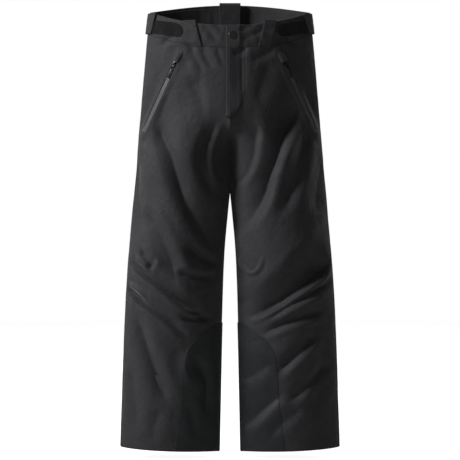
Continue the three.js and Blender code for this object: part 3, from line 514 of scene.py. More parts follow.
def band_shape(face, u, h, z):
    """The waistband is slightly padded, and puckers where it is gathered."""
    b = np.clip((waist_edge(face, u) - z) / WAISTBAND, 0, 1)
    puff = np.clip(4 * b * (1 - b), 0, 1)**0.6
    ripple = 1.0 if face == BACK else 0.7
    return puff * (1.0 + ripple * value_noise((h + 9 * b) / 11, b * 1.6 + 3, 17)
                   + 0.9 * value_noise((h - 14 * b) / 31, b * 1.3 + 9, 18))


def calm(face, u, h, z):
    """Where seams and fasteners hold the cloth flat: 0 there, 1 in the open. h counts from the side seam."""
    ease = smooth((-WAISTBAND - 6 - z + waist_edge(face, u)) / 38)
    total = np.abs(around(face, np.ones(u.shape), z))
    inner = total - np.abs(h)
    ease = ease * (0.12 + 0.88 * smooth(inner / 16)) * (0.3 + 0.7 * smooth(np.abs(h) / 14))
    ease = ease * (0.35 + 0.65 * smooth((z - HEM - 6) / 30))
    if face == FRONT:
        beside_fly, below_fly = smooth((inner - 46) / 26), smooth((-z - FLY_BOTTOM + 15) / 75)
        ease = ease * np.where(z > -FLY_BOTTOM - 60, np.maximum(beside_fly, below_fly), 1)
        start, end = zip_ends()
        run = end - start
        t = np.clip(((h - start[0]) * run[0] + (z - start[1]) * run[1]) / (run @ run), -0.06, 1.05)
        off = np.hypot(h - start[0] - t * run[0], z - start[1] - t * run[1])
        ease = ease * smooth((off - 9) / 30)
    return ease


def zip_ends():
    """The pocket zip's ends, by distance round the cloth and height."""
    ends = []
    for x, drop in (ZIP_TOP, ZIP_BOTTOM):
        u = u_at(FRONT, x, -drop)
        ends.append(np.array([float(around(FRONT, u, np.float64(-drop))), -drop]))
    return ends


def surface(side, face, u, z, off=0.0):
    """Cloth points with the folds in them."""
    return cloth(side, face, u, z, np.asarray(off) + folds(side, face, u, z))


# --- Building meshes ------------------------------------------------------------------------------
def deselect_all():
    if bpy.context.object and bpy.context.object.mode != "OBJECT":
        bpy.ops.object.mode_set(mode="OBJECT")
    bpy.ops.object.select_all(action="DESELECT")


def take(piece):
    """Makes a piece the only one that operators act on."""
    deselect_all()
    piece.select_set(True)
    bpy.context.view_layer.objects.active = piece
    return piece


def add_mesh(name, points, faces, uv=None, smooth_faces=True):
    """A new piece from points in millimetres. uv has one pair of metres for each point."""
    mesh = bpy.data.meshes.new(name)
    points = np.asarray(points, float).reshape(-1, 3) * MM
    faces = np.asarray(faces, int)
    sides = faces.shape[1]
    mesh.vertices.add(len(points))
    mesh.vertices.foreach_set("co", points.ravel())
    mesh.loops.add(faces.size)
    mesh.loops.foreach_set("vertex_index", faces.ravel())
    mesh.polygons.add(len(faces))
    mesh.polygons.foreach_set("loop_start", np.arange(0, faces.size, sides))
    mesh.polygons.foreach_set("loop_total", np.full(len(faces), sides))
    mesh.polygons.foreach_set("use_smooth", np.full(len(faces), smooth_faces))
    if uv is not None:
        layer = mesh.uv_layers.new(name="cloth")
        layer.data.foreach_set("uv", np.asarray(uv, float).reshape(-1, 2)[faces.ravel()].ravel())
    mesh.update(calc_edges=True)
    mesh.validate()
    piece = bpy.data.objects.new(name, mesh)
    bpy.context.scene.collection.objects.link(piece)
    return piece


def grid_faces(rows, columns, start=0, ring=False, flip=False):
    """The faces of a grid of points whose first is number start. A ring's last column joins its first."""
    wide = columns if ring else columns + 1
    j, i = np.meshgrid(np.arange(rows), np.arange(columns), indexing="ij")
    a = start + j * wide + i
    b = start + j * wide + (i + 1) % wide
    faces = np.stack([a, b, b + wide, a + wide], -1).reshape(-1, 4)
    return faces[:, ::-1] if flip else faces


def sheet_piece(name, outer, inner, uv=None, ring=False):
    """A closed sheet between two grids of points, outer and inner, with rows from the top down."""
    outer, inner = np.asarray(outer, float), np.asarray(inner, float)
    rows, wide = outer.shape[0] - 1, outer.shape[1]
    columns = wide if ring else wide - 1
    count = outer.shape[0] * wide
    parts = [grid_faces(rows, columns, 0, ring), grid_faces(rows, columns, count, ring, flip=True)]
    i = np.arange(columns)
    n = (i + 1) % wide
    last = rows * wide
    parts.append(np.stack([count + i, count + n, n, i], -1))
    parts.append(np.stack([last + i, last + n, count + last + n, count + last + i], -1))
    if not ring:
        j = np.arange(rows) * wide
        k = j + wide
        parts.append(np.stack([j, k, count + k, count + j], -1))
        end = columns
        parts.append(np.stack([count + j + end, count + k + end, k + end, j + end], -1))
    faces = np.concatenate(parts)
    points = np.concatenate([outer.reshape(-1, 3), inner.reshape(-1, 3)])
    uv = np.concatenate([np.asarray(uv).reshape(-1, 2)] * 2) * MM
    piece = add_mesh(name, points, faces, uv)
    inside = piece.data.attributes.new("inner", "INT", "FACE")
    marks = np.zeros(len(faces), int)
    marks[rows * columns:2 * rows * columns] = 1
    inside.data.foreach_set("value", marks)
    face_out(piece)
    return piece


def face_out(piece):
    """Turns a closed mesh's faces outwards, going by its volume."""
    mesh = bmesh.new()
    mesh.from_mesh(piece.data)
    if mesh.calc_volume(signed=True) < 0:
        bmesh.ops.reverse_faces(mesh, faces=mesh.faces)
    mesh.to_mesh(piece.data)
    mesh.free()


def roll(distance, radius, depth):
    """How far a turned edge rounds off, at a distance from the edge."""
    t = np.clip(1 - distance / radius, 0, 1)
    return depth * (1 - np.sqrt(1 - t**2))


def spread(total, step, fine=(0.0, 0.4, 1.0, 1.8, 2.8, 4.2, 6.2)):
    """Distances from 0 to total, close together at both ends."""
    total = float(total)
    fine = [d for d in fine if d < total * 0.4]
    count = max(2, int(round((total - 2 * fine[-1]) / step)))
    middle = np.linspace(fine[-1], total - fine[-1], count + 1)
    return np.concatenate([fine[:-1], middle, [total - d for d in fine[:-1]][::-1]])


def finish_piece(piece, material, body, nodes=(), bend=None):
    """Gives a piece its finish, and its body unless bend is given. bend is (other body, start, end) where it
    crosses a joint; only whether it is given is read, and then the piece's place is baked into its mesh.
    """
    if not piece.data.materials:
        piece.data.materials.append(material)
    if bend:
        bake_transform(piece)
    else:
        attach(piece, body)
    if nodes:
        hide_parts(*nodes)
    return piece


EDGE_FALL = 0.42  # how far each face of a sheet rounds off at its edges, as a share of the thickness


def sew(name, place, size, thick, material, nodes, body="trousers", bend=None,
        soft=1.2, step=2.4, ring=False, lining=None, declared=True):
    """Sews one closed piece of cloth of about this size, with a mesh line at each step.

    place(a, b, off) gives points for the shares across and down it, off from its inner face.
    """
    count = round(size[0] / step)
    across = np.arange(count) / count if ring else spread(size[0], step) / size[0]
    a, b = np.meshgrid(across, spread(size[1], step) / size[1])
    base = place(a, b, np.zeros(a.shape))
    left, right, top, bottom = edge_gaps(base)
    edge = np.minimum(top, bottom) if ring else np.minimum(np.minimum(left, right), np.minimum(top, bottom))
    fall = roll(edge, soft, thick * EDGE_FALL)
    uv = np.stack([left, top], -1)
    piece = sheet_piece(f"{name}_cloth", place(a, b, thick - fall), place(a, b, fall), uv, ring)
    piece.data.materials.append(material)
    if lining is not None:
        line_inside(piece, lining)
    finish_piece(piece, material, body, nodes, bend)
    if declared:
        declare_sheet(base, ring)
    return piece


def line_inside(piece, lining):
    """Gives the faces of the inner grid the lining's finish."""
    piece.data.materials.append(lining)
    inside = piece.data.attributes["inner"]
    for face, mark in zip(piece.data.polygons, inside.data):
        face.material_index = int(mark.value)


def declare_sheet(base, ring=False):
    """Works out the steps across and down a sheet, whose flat size is that of its unfolded surface; nothing
    is declared with them.
    """
    if ring:
        base = np.concatenate([base, base[:, :1]], axis=1)
    across, down = np.diff(base, axis=1), np.diff(base, axis=0)


# --- Materials ------------------------------------------------------------------------------------
def add_node(tree, kind, settings=None, links=None):
    """Adds a node. Settings name its properties, or its sockets by name or number; links join sockets."""
    node = tree.nodes.new(kind)
    for key, value in (settings or {}).items():
        if isinstance(key, str) and hasattr(node, key):
            setattr(node, key, value)
        else:
            node.inputs[key].default_value = value
    for key, source in (links or {}).items():
        tree.links.new(source, node.inputs[key])
    return node


def new_material(name):
    """A material with a Principled shader wired to its output."""
    material = bpy.data.materials.get(name)
    if material:
        return material, None, None
    material = bpy.data.materials.new(name)
    material.use_nodes = True
    tree = material.node_tree
    tree.nodes.clear()
    shader = add_node(tree, "ShaderNodeBsdfPrincipled")
    add_node(tree, "ShaderNodeOutputMaterial", links={"Surface": shader.outputs[0]})
    return material, tree, shader


def shade(tree, base, amount, factor):
    """A colour that varies by a share of itself, both ways, with a 0 to 1 factor."""
    dark = [c * (1 - amount) for c in base[:3]] + [1]
    light = [c * (1 + amount) for c in base[:3]] + [1]
    blend = add_node(tree, "ShaderNodeMix", {"data_type": "RGBA", 6: dark, 7: light}, {0: factor})
    return blend.outputs[2]


WAVE_PERIOD = 0.314  # a wave texture's period at scale 1, in its own units


def woven(name, base, period, roughness, sheen, relief, vary=0.5, crinkle=0.00026):
    """Cloth woven of fine threads: two crossing sets of ridges, and the soft crinkle of a filled garment."""
    material, tree, shader = new_material(name)
    if tree is None:
        return material
    uv = add_node(tree, "ShaderNodeUVMap", {"uv_map": "cloth"}).outputs[0]
    ridges = []
    for direction in ("X", "Y"):
        wave = add_node(tree, "ShaderNodeTexWave", {
            "wave_type": "BANDS", "bands_direction": direction, "Scale": WAVE_PERIOD / period,
            "Distortion": 0.6, "Detail": 1.0, "Detail Scale": 0.7}, {"Vector": uv})
        ridges.append(wave.outputs["Fac"])
    weave = add_node(tree, "ShaderNodeMath", {"operation": "MAXIMUM"},
                     {0: ridges[0], 1: ridges[1]}).outputs[0]
    broad = add_node(tree, "ShaderNodeTexNoise", {"Scale": 28, "Detail": 3}, {"Vector": uv}).outputs["Fac"]
    soft = add_node(tree, "ShaderNodeTexNoise", {"Scale": 170, "Detail": 3, "Roughness": 0.55},
                    {"Vector": uv}).outputs["Fac"]
    wide = add_node(tree, "ShaderNodeTexNoise", {"Scale": 60, "Detail": 2}, {"Vector": uv}).outputs["Fac"]
    fleck = add_node(tree, "ShaderNodeTexNoise", {"Scale": 420, "Detail": 4, "Roughness": 0.7},
                     {"Vector": uv}).outputs["Fac"]
    mottle = add_node(tree, "ShaderNodeMapRange", {"From Min": 0.32, "From Max": 0.68}, {"Value": fleck})
    patchy = add_node(tree, "ShaderNodeMath", {"operation": "ADD"}, {0: mottle.outputs[0], 1: broad})
    threads = add_node(tree, "ShaderNodeMath", {"operation": "MULTIPLY_ADD", 1: 0.5},
                       {0: weave, 2: patchy.outputs[0]})
    factor = add_node(tree, "ShaderNodeMath", {"operation": "MULTIPLY", 1: 0.4}, {0: threads.outputs[0]})
    tree.links.new(shade(tree, base, vary, factor.outputs[0]), shader.inputs["Base Color"])
    rough = add_node(tree, "ShaderNodeMapRange", {
        "From Min": 0.3, "From Max": 0.7, "To Min": roughness - 0.05, "To Max": roughness + 0.07},
        {"Value": soft})
    tree.links.new(rough.outputs[0], shader.inputs["Roughness"])
    shader.inputs["Sheen Weight"].default_value = sheen
    shader.inputs["Sheen Roughness"].default_value = 0.45
    shader.inputs["Specular IOR Level"].default_value = 0.35
    slow = add_node(tree, "ShaderNodeBump", {"Strength": 1.0, "Distance": crinkle * 5}, {"Height": wide})
    crumple = add_node(tree, "ShaderNodeBump", {"Strength": 1.0, "Distance": crinkle * 2},
                       {"Height": soft, "Normal": slow.outputs[0]})
    thread = add_node(tree, "ShaderNodeBump", {"Strength": 1.0, "Distance": relief},
                      {"Height": weave, "Normal": crumple.outputs[0]})
    tree.links.new(thread.outputs[0], shader.inputs["Normal"])
    return material


def shell_cloth():
    # Plain-woven nylon with a water-repellent finish: a soft dull gloss over very fine threads.
    return woven("woven_nylon_shell", colours().shell, sizes().weave, 0.68, 0.2, 0.00008)


def guard_cloth():
    # Dense coated nylon: smoother and a little cooler than the shell, with coarser threads.
    return woven("coated_nylon_guard", colours().guard, sizes().weave * 1.5, 0.5, 0.05, 0.00008,
                 crinkle=0.00006)


def lining_cloth():
    # Brushed polyester: no gloss, and a faint nap.
    return woven("brushed_polyester_lining", colours().lining, sizes().weave * 1.2, 0.85, 0.3, 0.00005)


def elastic_web():
    # Knitted elastic: ribs along its length.
    return woven("ribbed_elastic", colours().lining, 0.0022, 0.9, 0.2, 0.0003, crinkle=0.00002)


def loop_pile():
    """The soft half of a hook-and-loop strip: a mat of tiny loops that eats the light."""
    material, tree, shader = new_material("nylon_loop_pile")
    if tree is None:
        return material
    uv = add_node(tree, "ShaderNodeUVMap", {"uv_map": "cloth"}).outputs[0]
    # The loops are about 0.8 mm across, drawn as coarse as they need to show.
    cells = add_node(tree, "ShaderNodeTexVoronoi", {"Scale": 900, "Randomness": 1.0},
                     {"Vector": uv}).outputs[0]
    fuzz = add_node(tree, "ShaderNodeTexNoise", {"Scale": 420, "Detail": 5, "Roughness": 0.7},
                    {"Vector": uv}).outputs["Fac"]
    tree.links.new(shade(tree, colours().pile, 0.5, fuzz), shader.inputs["Base Color"])
    shader.inputs["Roughness"].default_value = 0.95
    shader.inputs["Sheen Weight"].default_value = 0.35
    shader.inputs["Specular IOR Level"].default_value = 0.15
    mat = add_node(tree, "ShaderNodeBump", {"Strength": 1.0, "Distance": 0.0006}, {"Height": fuzz})
    loops = add_node(tree, "ShaderNodeBump", {"Strength": 1.0, "Distance": 0.0004},
                     {"Height": cells, "Normal": mat.outputs[0]})
    tree.links.new(loops.outputs[0], shader.inputs["Normal"])
    return material


def plain(name, base, roughness, metallic=0.0, grain=900, relief=0.00002, vary=0.08, coat=0.0):
    """A hard or film finish with a fine grain that breaks up its gloss."""
    material, tree, shader = new_material(name)
    if tree is None:
        return material
    place = add_node(tree, "ShaderNodeTexCoord").outputs["Object"]
    fine = add_node(tree, "ShaderNodeTexNoise", {"Scale": grain, "Detail": 3},
                    {"Vector": place}).outputs["Fac"]
    worn = add_node(tree, "ShaderNodeTexNoise", {"Scale": grain / 9, "Detail": 4},
                    {"Vector": place}).outputs["Fac"]
    tree.links.new(shade(tree, base, vary, worn), shader.inputs["Base Color"])
    rough = add_node(tree, "ShaderNodeMapRange", {"To Min": roughness - 0.06, "To Max": roughness + 0.1},
                     {"Value": worn})
    tree.links.new(rough.outputs[0], shader.inputs["Roughness"])
    shader.inputs["Metallic"].default_value = metallic
    shader.inputs["Coat Weight"].default_value = coat
    bump = add_node(tree, "ShaderNodeBump", {"Strength": 1.0, "Distance": relief}, {"Height": fine})
    tree.links.new(bump.outputs[0], shader.inputs["Normal"])
    return material


def coated_tape():
    # Zip tape under a rubbery film: smooth, with a satin gloss.
    return plain("film_coated_tape", colours().tape, 0.34, grain=500, relief=0.00003, coat=0.25)


def plated_zinc():
    # Die-cast zinc with a dark plating: a soft metallic gleam, brighter where it is rubbed.
    return plain("dark_plated_zinc", colours().metal, 0.3, metallic=1.0, grain=1500, vary=0.2)


def lacquered_brass():
    # Pressed brass under matte lacquer.
    return plain("matte_lacquered_brass", colours().snap, 0.42, metallic=0.4, grain=1400)


def moulded_nylon():
    # Moulded black nylon: even and slightly glossy.
    return plain("moulded_nylon", colours().pile, 0.42, grain=1200)


def sewing_thread():
    # Bonded polyester thread: a faint gloss on each stitch.
    return plain("polyester_thread", colours().thread, 0.5, grain=3000)


# --- Stitching ------------------------------------------------------------------------------------
# One stitch as rings: the place along it as a share of its length, and its width and lift in thread radii.
STITCH_RINGS = ((-0.5, 0.35, -0.45), (-0.36, 0.9, 0.1), (0.0, 1.0, 0.35), (0.36, 0.9, 0.1),
                (0.5, 0.35, -0.45))


def tube_faces(rings, sides=4):
    """The faces of one tube of four-sided rings, closed at both ends."""
    last = (rings - 1) * sides
    caps = [[3, 2, 1, 0], [last, last + 1, last + 2, last + 3]]
    return np.concatenate([grid_faces(rings - 1, sides, ring=True), caps])


def stitch_line(points, normals):
    """Stitches along a track of points, as mesh points and faces. Each is a short thread with sunk ends."""
    size, pitch, radius = sizes().stitch / MM, sizes().stitch_pitch / MM, sizes().thread / MM / 2
    gaps = np.linalg.norm(np.diff(points, axis=0), axis=1)
    along = np.concatenate([[0], np.cumsum(gaps)])
    centres = np.arange(pitch / 2, along[-1] - size / 2, pitch)

    def at(d, values):
        return np.stack([np.interp(d, along, values[:, k]) for k in range(3)], -1)
    run = at(centres + 0.6, points) - at(centres - 0.6, points)
    run /= np.linalg.norm(run, axis=1, keepdims=True)
    up = at(centres, normals)
    up -= run * (up * run).sum(1, keepdims=True)
    up /= np.linalg.norm(up, axis=1, keepdims=True)
    across = np.cross(run, up)
    rings = []
    for share, wide, lift in STITCH_RINGS:
        middle = at(centres + share * size, points) + up * lift * radius
        corners = [across, up, -across, -up]
        rings.append(np.stack([middle + c * radius * wide for c in corners], 1))
    made = np.stack(rings, 1)
    count = len(STITCH_RINGS) * 4
    faces = tube_faces(len(STITCH_RINGS))[None] + (np.arange(len(centres)) * count)[:, None, None]
    return made.reshape(-1, 3), faces.reshape(-1, 4)


def stitches(name, tracks, body="trousers", bend=None):
    """One piece of thread for several tracks of (points, normals)."""
    points, faces, start = [], [], 0
    for track, normals in tracks:
        p, f = stitch_line(track, normals)
        points.append(p)
        faces.append(f + start)
        start += len(p)
    piece = add_mesh(name, np.concatenate(points), np.concatenate(faces))
    mesh = bmesh.new()
    mesh.from_mesh(piece.data)
    bmesh.ops.recalc_face_normals(mesh, faces=mesh.faces)
    mesh.to_mesh(piece.data)
    mesh.free()
    return finish_piece(piece, sewing_thread(), body, bend=bend)


def track_on(side, face, u, z, off):
    """A track of points on the cloth with their outward directions."""
    points = surface(side, face, u, z, off)
    return points, surface(side, face, u, z, np.asarray(off) + 1) - points


def track_front(x, z, off):
    """The same for a track on the front that may cross the centre, by its x."""
    x, z = np.broadcast_arrays(np.asarray(x, float), np.asarray(z, float))
    points, normals = np.zeros(x.shape + (3,)), np.zeros(x.shape + (3,))
    off = np.broadcast_to(off, x.shape)
    for side in SIDES:
        mine = (x < 0) if side == RIGHT else (x >= 0)
        if mine.any():
            u = u_at(FRONT, x[mine], z[mine])
            points[mine], normals[mine] = track_on(side, FRONT, u, z[mine], off[mine])
    return points, normals


# --- Leg and seat panels --------------------------------------------------------------------------
def panel_grid(face, last_u):
    """u and z of a panel's mesh lines, spaced by distance along the cloth. last_u(z) is its inner edge."""
    step = sizes().mesh_step / MM
    rows = spread(-HEM - WAISTBAND, step) / (-HEM - WAISTBAND)
    widest = GIRTH[face][:, -1].max()
    columns = spread(widest, step)
    u_line = np.linspace(0, 1, 61)
    top, bottom = waist_seam(face, u_line), HEM + HEM_SLANT * (1 - u_line)
    u = np.zeros((len(rows), len(columns)))
    z = np.zeros_like(u)
    for j, b in enumerate(rows):
        level = mix(top, bottom, b)
        x, y = skin(face, u_line, level)
        along = np.concatenate([[0], np.cumsum(np.hypot(np.diff(x), np.diff(y)))])
        whole = np.interp(last_u(level[-1]), u_line, along)
        u[j] = np.interp(edge_spaced(columns, whole), along, u_line)
        z[j] = np.interp(u[j], u_line, level)
    return u, z


def edge_spaced(columns, whole, rim=6.2):
    """Stretches the middle of a row of mesh lines to a new length. Those near its ends stay as close."""
    widest = columns[-1]
    near = np.minimum(columns, widest - columns)
    middle = rim + (columns - rim) * (whole - 2 * rim) / (widest - 2 * rim)
    from_end = np.where(columns < widest / 2, columns, whole - (widest - columns))
    return np.where(near < rim, from_end, middle)


def edge_gaps(points):
    """Distances of each grid point from the grid's left, right, top and bottom edges, in millimetres."""
    across = np.linalg.norm(np.diff(points, axis=1), axis=2)
    from_left = np.concatenate([np.zeros((points.shape[0], 1)), np.cumsum(across, axis=1)], axis=1)
    down = np.linalg.norm(np.diff(points, axis=0), axis=2)
    from_top = np.concatenate([np.zeros((1, points.shape[1])), np.cumsum(down, axis=0)], axis=0)
    return from_left, from_left[:, -1:] - from_left, from_top, from_top[-1:] - from_top


SEAM_OVERLAP = 0.08  # how far pieces run past a seam's plane, so that no gap shows


def trimmed(points, side, face):
    """Keeps points on their own side of the seam planes."""
    points = points.copy()
    points[..., 0] = side * np.maximum(side * points[..., 0], -SEAM_OVERLAP)
    middle = seam_y(points[..., 2])
    points[..., 1] = middle + face * np.maximum(face * (points[..., 1] - middle), -SEAM_OVERLAP)
    return points


def leg_panel(side, face):
    """Sews one panel. The left front one leaves a channel for the fly zip."""
    channel = float(u_at(FRONT, FLY_CHANNEL, -150)) if (side, face) == (LEFT, FRONT) else 1.0

    def last_u(z):
        return mix(channel, 1.0, float(smooth((-FLY_BOTTOM + 8 - z) / 12)))
    u, z = panel_grid(face, last_u)
    push = folds(side, face, u, z)
    flat = cloth(side, face, u, z)
    rounding = sum(roll(gap, 3.2, 1.4) for gap in edge_gaps(flat))
    thick = sizes().shell / MM
    outer = trimmed(cloth(side, face, u, z, push - np.minimum(rounding, 1.7)), side, face)
    inner = trimmed(cloth(side, face, u, z, push - thick), side, face)
    name = f"{SIDES[side]}_{'front' if face == FRONT else 'back'}_panel"
    piece = sheet_piece(f"{name}_cloth", outer, inner, np.stack([around(face, u, z), z], -1))
    piece.data.materials.append(shell_cloth())
    line_inside(piece, lining_cloth())
    if face == FRONT:
        cut_pocket_slot(piece, side)
    finish_piece(piece, shell_cloth(), "trousers", [name])
    declare_sheet(flat)
    return piece


def in_metres(start, turn, run):
    """A zip's frame as a matrix in metres, and its length in millimetres."""
    return Matrix.Translation(Vector(start * MM)) @ Matrix(turn.T.tolist()).to_4x4(), run


def turned_by(matrix, points):
    """Points in millimetres, moved from a zip's frame to the pants'."""
    return (points * MM @ np.array(matrix.to_3x3()).T + np.array(matrix.translation)) / MM


def cut_pocket_slot(piece, side):
    """Cuts the straight slot that the pocket zip shows in."""
    matrix, run = in_metres(*zip_frame(side))
    deselect_all()
    bpy.ops.mesh.primitive_cube_add(size=1, scale=(sizes().exposed_tape, (run + 2) * MM, 0.03))
    tool = bpy.context.object
    bpy.ops.object.transform_apply(location=True, rotation=True, scale=True)
    tool.data.transform(matrix @ Matrix.Translation((0, run / 2 * MM, 0)))
    cut = piece.modifiers.new("slot", "BOOLEAN")
    cut.operation, cut.solver, cut.object = "DIFFERENCE", "MANIFOLD", tool
    take(piece)
    bpy.ops.object.modifier_apply(modifier=cut.name)
    bpy.data.objects.remove(tool)


class PANTS_OT_leg_panels(bpy.types.Operator):
    """Sew the two front and two back leg panels"""
    bl_idname = "pants.leg_panels"
    bl_label = "Leg Panels"

    def execute(self, context):
        for side in SIDES:
            for face in (FRONT, BACK):
                leg_panel(side, face)
        return {"FINISHED"}


# --- Waistband ------------------------------------------------------------------------------------
def front_points(x, z, off):
    """Points on the front by their x."""
    return track_front(x, z, off)[0]


def back_points(s, z, off):
    """Points on the back. s runs from -1 at the right side seam to 1 at the left one."""
    s, z, off = np.broadcast_arrays(s, z, off)
    points = np.zeros(s.shape + (3,))
    for side in SIDES:
        mine = (s < 0) if side == RIGHT else (s >= 0)
        points[mine] = surface(side, BACK, 1 - np.abs(s[mine]), z[mine], off[mine])
    return points


def side_points(side, w, z, off):
    """Points near a side seam. w is u on the front, and minus u on the back."""
    w, z, off = np.broadcast_arrays(w, z, off)
    points = np.zeros(w.shape + (3,))
    for face in (FRONT, BACK):
        mine = (w >= 0) if face == FRONT else (w < 0)
        points[mine] = surface(side, face, np.abs(w[mine]), z[mine], off[mine])
    return points


def band_level(face, u, b, from_edge=0.0, from_seam=-0.1):
    """The height at a share down the waistband, or down a strip that keeps off its edge and its seam."""
    return mix(waist_edge(face, u) - from_edge, waist_seam(face, u) + from_seam, b)


def flap_off(x, off, thick, sink=0.0):
    """The fly flap's layers: free at its edge, and let into the cloth where it is sewn down."""
    sewn = 1 - (1 - smooth((x - 20) / 11)) * (1 - sink)
    return mix(0.6 + off, -1.3 + off * 1.42 / thick, sewn)


FLAP_END = FLAP_ROOT + 2.5
# The bend of the flap and the waistband's overlap: the trousers, and two points at their root. finish_piece
# only reads whether it is given.
FLAP_BEND = ("trousers", (FLAP_ROOT + 1, -70, -150), (FLAP_ROOT - 8, -70, -150))


class PANTS_OT_waistband(bpy.types.Operator):
    """Sew the waistband, its overlap and underlap, and the elastic inside it"""
    bl_idname = "pants.waistband"
    bl_label = "Waistband"

    def execute(self, context):
        band = sizes().band / MM
        self.front(band)
        self.overlap()
        self.back(band)
        return {"FINISHED"}

    def front(self, band):
        for side, end in ((RIGHT, 1.0), (LEFT, float(front_u(16)))):
            def place(a, b, off):
                u = mix(0, end, a)
                return trimmed(surface(side, FRONT, u, band_level(FRONT, u, b), off - band), side, FRONT)
            name = f"{SIDES[side]}_front_waistband"
            sew(name, place, (225, WAISTBAND), band, shell_cloth(), [name],
                soft=1.7, lining=lining_cloth())

        def under(a, b, off):
            x = mix(-14, 24, a)
            behind = band + 0.4 + OVERLAP_THICK
            return front_points(x, band_level(FRONT, front_u(x), b, 1, 1), off - behind)
        sew("waistband_underlap", under, (38, 49), OVERLAP_THICK, lining_cloth(),
            ["waistband_underlap"])

    def overlap(self):
        def place(a, b, off):
            x = mix(FLAP_EDGE, FLAP_END, a)
            return front_points(x, band_level(FRONT, front_u(x), b), flap_off(x, off, OVERLAP_THICK))
        sew("waistband_overlap", place, (42, WAISTBAND), OVERLAP_THICK, shell_cloth(),
            ["waistband_overlap"], body="fly_flap", bend=FLAP_BEND,
            step=1.6)

    def back(self, band):
        def place(a, b, off):
            s = 2 * a - 1
            points = back_points(s, band_level(BACK, 1 - np.abs(s), b), off - band)
            points[..., 1] = np.maximum(points[..., 1], seam_y(points[..., 2]) + 0.06)
            return points
        sew("back_waistband", place, (455, WAISTBAND), band, shell_cloth(), ["back_waistband"],
            soft=1.7, lining=lining_cloth())

        def ribbed(a, b, off):
            s = mix(-0.72, 0.72, a)
            rib = 0.15 * np.cos(b * 16 * math.pi) * np.clip(off, 0, 1)
            return back_points(s, band_level(BACK, 1 - np.abs(s), b, 6, 6), off + rib - band - 1.6)
        sew("waist_elastic", ribbed, (330, 39), 1.2, elastic_web(), ["waist_elastic"],
            soft=0.6, step=1.6)


# --- Fly and snap ---------------------------------------------------------------------------------
def flap_foot(x):
    """The height of the flap's curved lower edge."""
    share = np.clip((x - FLAP_EDGE) / (FLAP_ROOT - FLAP_EDGE), 0, 1)
    return -FLY_BOTTOM + FLAP_CURVE * share**2.2


FLY_ZIP_DEPTH = -4.0  # how far the fly zip lies inside the skin


def fly_frame():
    """The fly zip's frame in metres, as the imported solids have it, and its length in millimetres."""
    centre = FLY_CHANNEL / 2 - 0.125
    top, bottom = -FRONT_DIP - WAISTBAND - 5, -FLY_BOTTOM + 14
    middle = (top + bottom) / 2
    away = on_skin(LEFT, centre, middle, 1) - on_skin(LEFT, centre, middle, 0)
    ends = (on_skin(LEFT, centre, z, FLY_ZIP_DEPTH) for z in (top, bottom))
    return in_metres(*frame_between(*ends, away))


def ribbon(name, matrix, left, right, run, base, thick, material, node, wave=0.0):
    """A straight woven tape in a zip's frame."""
    def place(a, b, off):
        x, y = mix(left, right, a), mix(*run, b)
        z = base + off + wave * np.sin(y * 0.9) * np.abs(x) / 14
        return turned_by(matrix, np.stack([x, y, z], -1))
    return sew(name, place, (abs(right - left), run[1] - run[0]), thick, material, [node], soft=0.3,
               step=1.2, declared=abs(right - left) > 10)


def zip_coil(name, matrix, width, height, run, base, node):
    """A moulded coil: one thread that winds across both edges of the tapes."""
    pitch = run / sizes().zip_teeth
    t = np.linspace(0, sizes().zip_teeth, sizes().zip_teeth * 12 + 1)
    angle = 2 * math.pi * t
    middle = np.stack([width / 2 * np.cos(angle), pitch * t, base + height / 2 * np.sin(angle)], -1)
    run_on = np.gradient(middle, axis=0)
    run_on /= np.linalg.norm(run_on, axis=1, keepdims=True)
    out = np.stack([np.cos(angle), 0 * t, np.sin(angle)], -1)
    across = np.cross(run_on, out)
    across /= np.linalg.norm(across, axis=1, keepdims=True)
    out = np.cross(across, run_on)
    radius = 0.3
    rings = np.stack([middle + c * radius for c in (across, out, -across, -out)], 1)
    piece = add_mesh(name, turned_by(matrix, rings.reshape(-1, 3)), tube_faces(len(t)))
    face_out(piece)
    return finish_piece(piece, moulded_nylon(), "trousers", [node])


class PANTS_OT_fly(bpy.types.Operator):
    """Sew the fly: its flap, its shield and the zip between them"""
    bl_idname = "pants.fly"
    bl_label = "Fly"

    def execute(self, context):
        self.flap()
        self.shield()
        matrix, run = fly_frame()
        for node, left, right in (("fly_zip_tape_right", 2.5, 14.5), ("fly_zip_tape_left", -14.5, -2.5)):
            ribbon(node, matrix, left, right, (-2, run), -0.6, 0.6, lining_cloth(), node)
        zip_coil("fly_zip_teeth", matrix, 4.2, 1.0, run, -0.1, "fly_zip_coil")
        fly_pull(matrix)
        finish_node("fly_zip_slider", plated_zinc())
        return {"FINISHED"}

    def flap(self):
        def place(a, b, off):
            x = mix(FLAP_EDGE, FLAP_END, a)
            foot = flap_foot(x)
            z = mix(waist_seam(FRONT, front_u(x)) - 0.1, foot, b)
            sink = 1 - smooth((z - foot - 1) / 4)
            bulge = 0.5 * value_noise(x / 16, z / 24, 31) * smooth((24 - x) / 10) * (1 - sink)
            stand = mix(0.3, 2.2, smooth((20 - x) / 27)) * (1 - sink)
            return front_points(x, z, flap_off(x, off, FLAP_THICK, sink) + bulge + stand)
        sew("fly_flap", place, (42, 165), FLAP_THICK, shell_cloth(), ["fly_flap"],
            body="fly_flap", bend=FLAP_BEND, step=1.8)

    def shield(self):
        def place(a, b, off):
            x = mix(-18, 24, a)
            z = mix(waist_seam(FRONT, front_u(x)) - 1, -FLY_BOTTOM - 2, b)
            return front_points(x, z, off - 6.5)
        sew("fly_shield", place, (42, 165), 1.2, lining_cloth(), ["fly_shield"])


def finish_node(node, material):
    """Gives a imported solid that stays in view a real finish."""
    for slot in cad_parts[node].material_slots:
        slot.material = material


def select_faces(piece, test):
    """In edit mode, selects the faces whose centre and normal pass a test."""
    bpy.ops.mesh.select_all(action="DESELECT")
    mesh = bmesh.from_edit_mesh(piece.data)
    for face in mesh.faces:
        if test(face.calc_center_median() / MM, face.normal):
            face.select_set(True)
    bmesh.update_edit_mesh(piece.data)


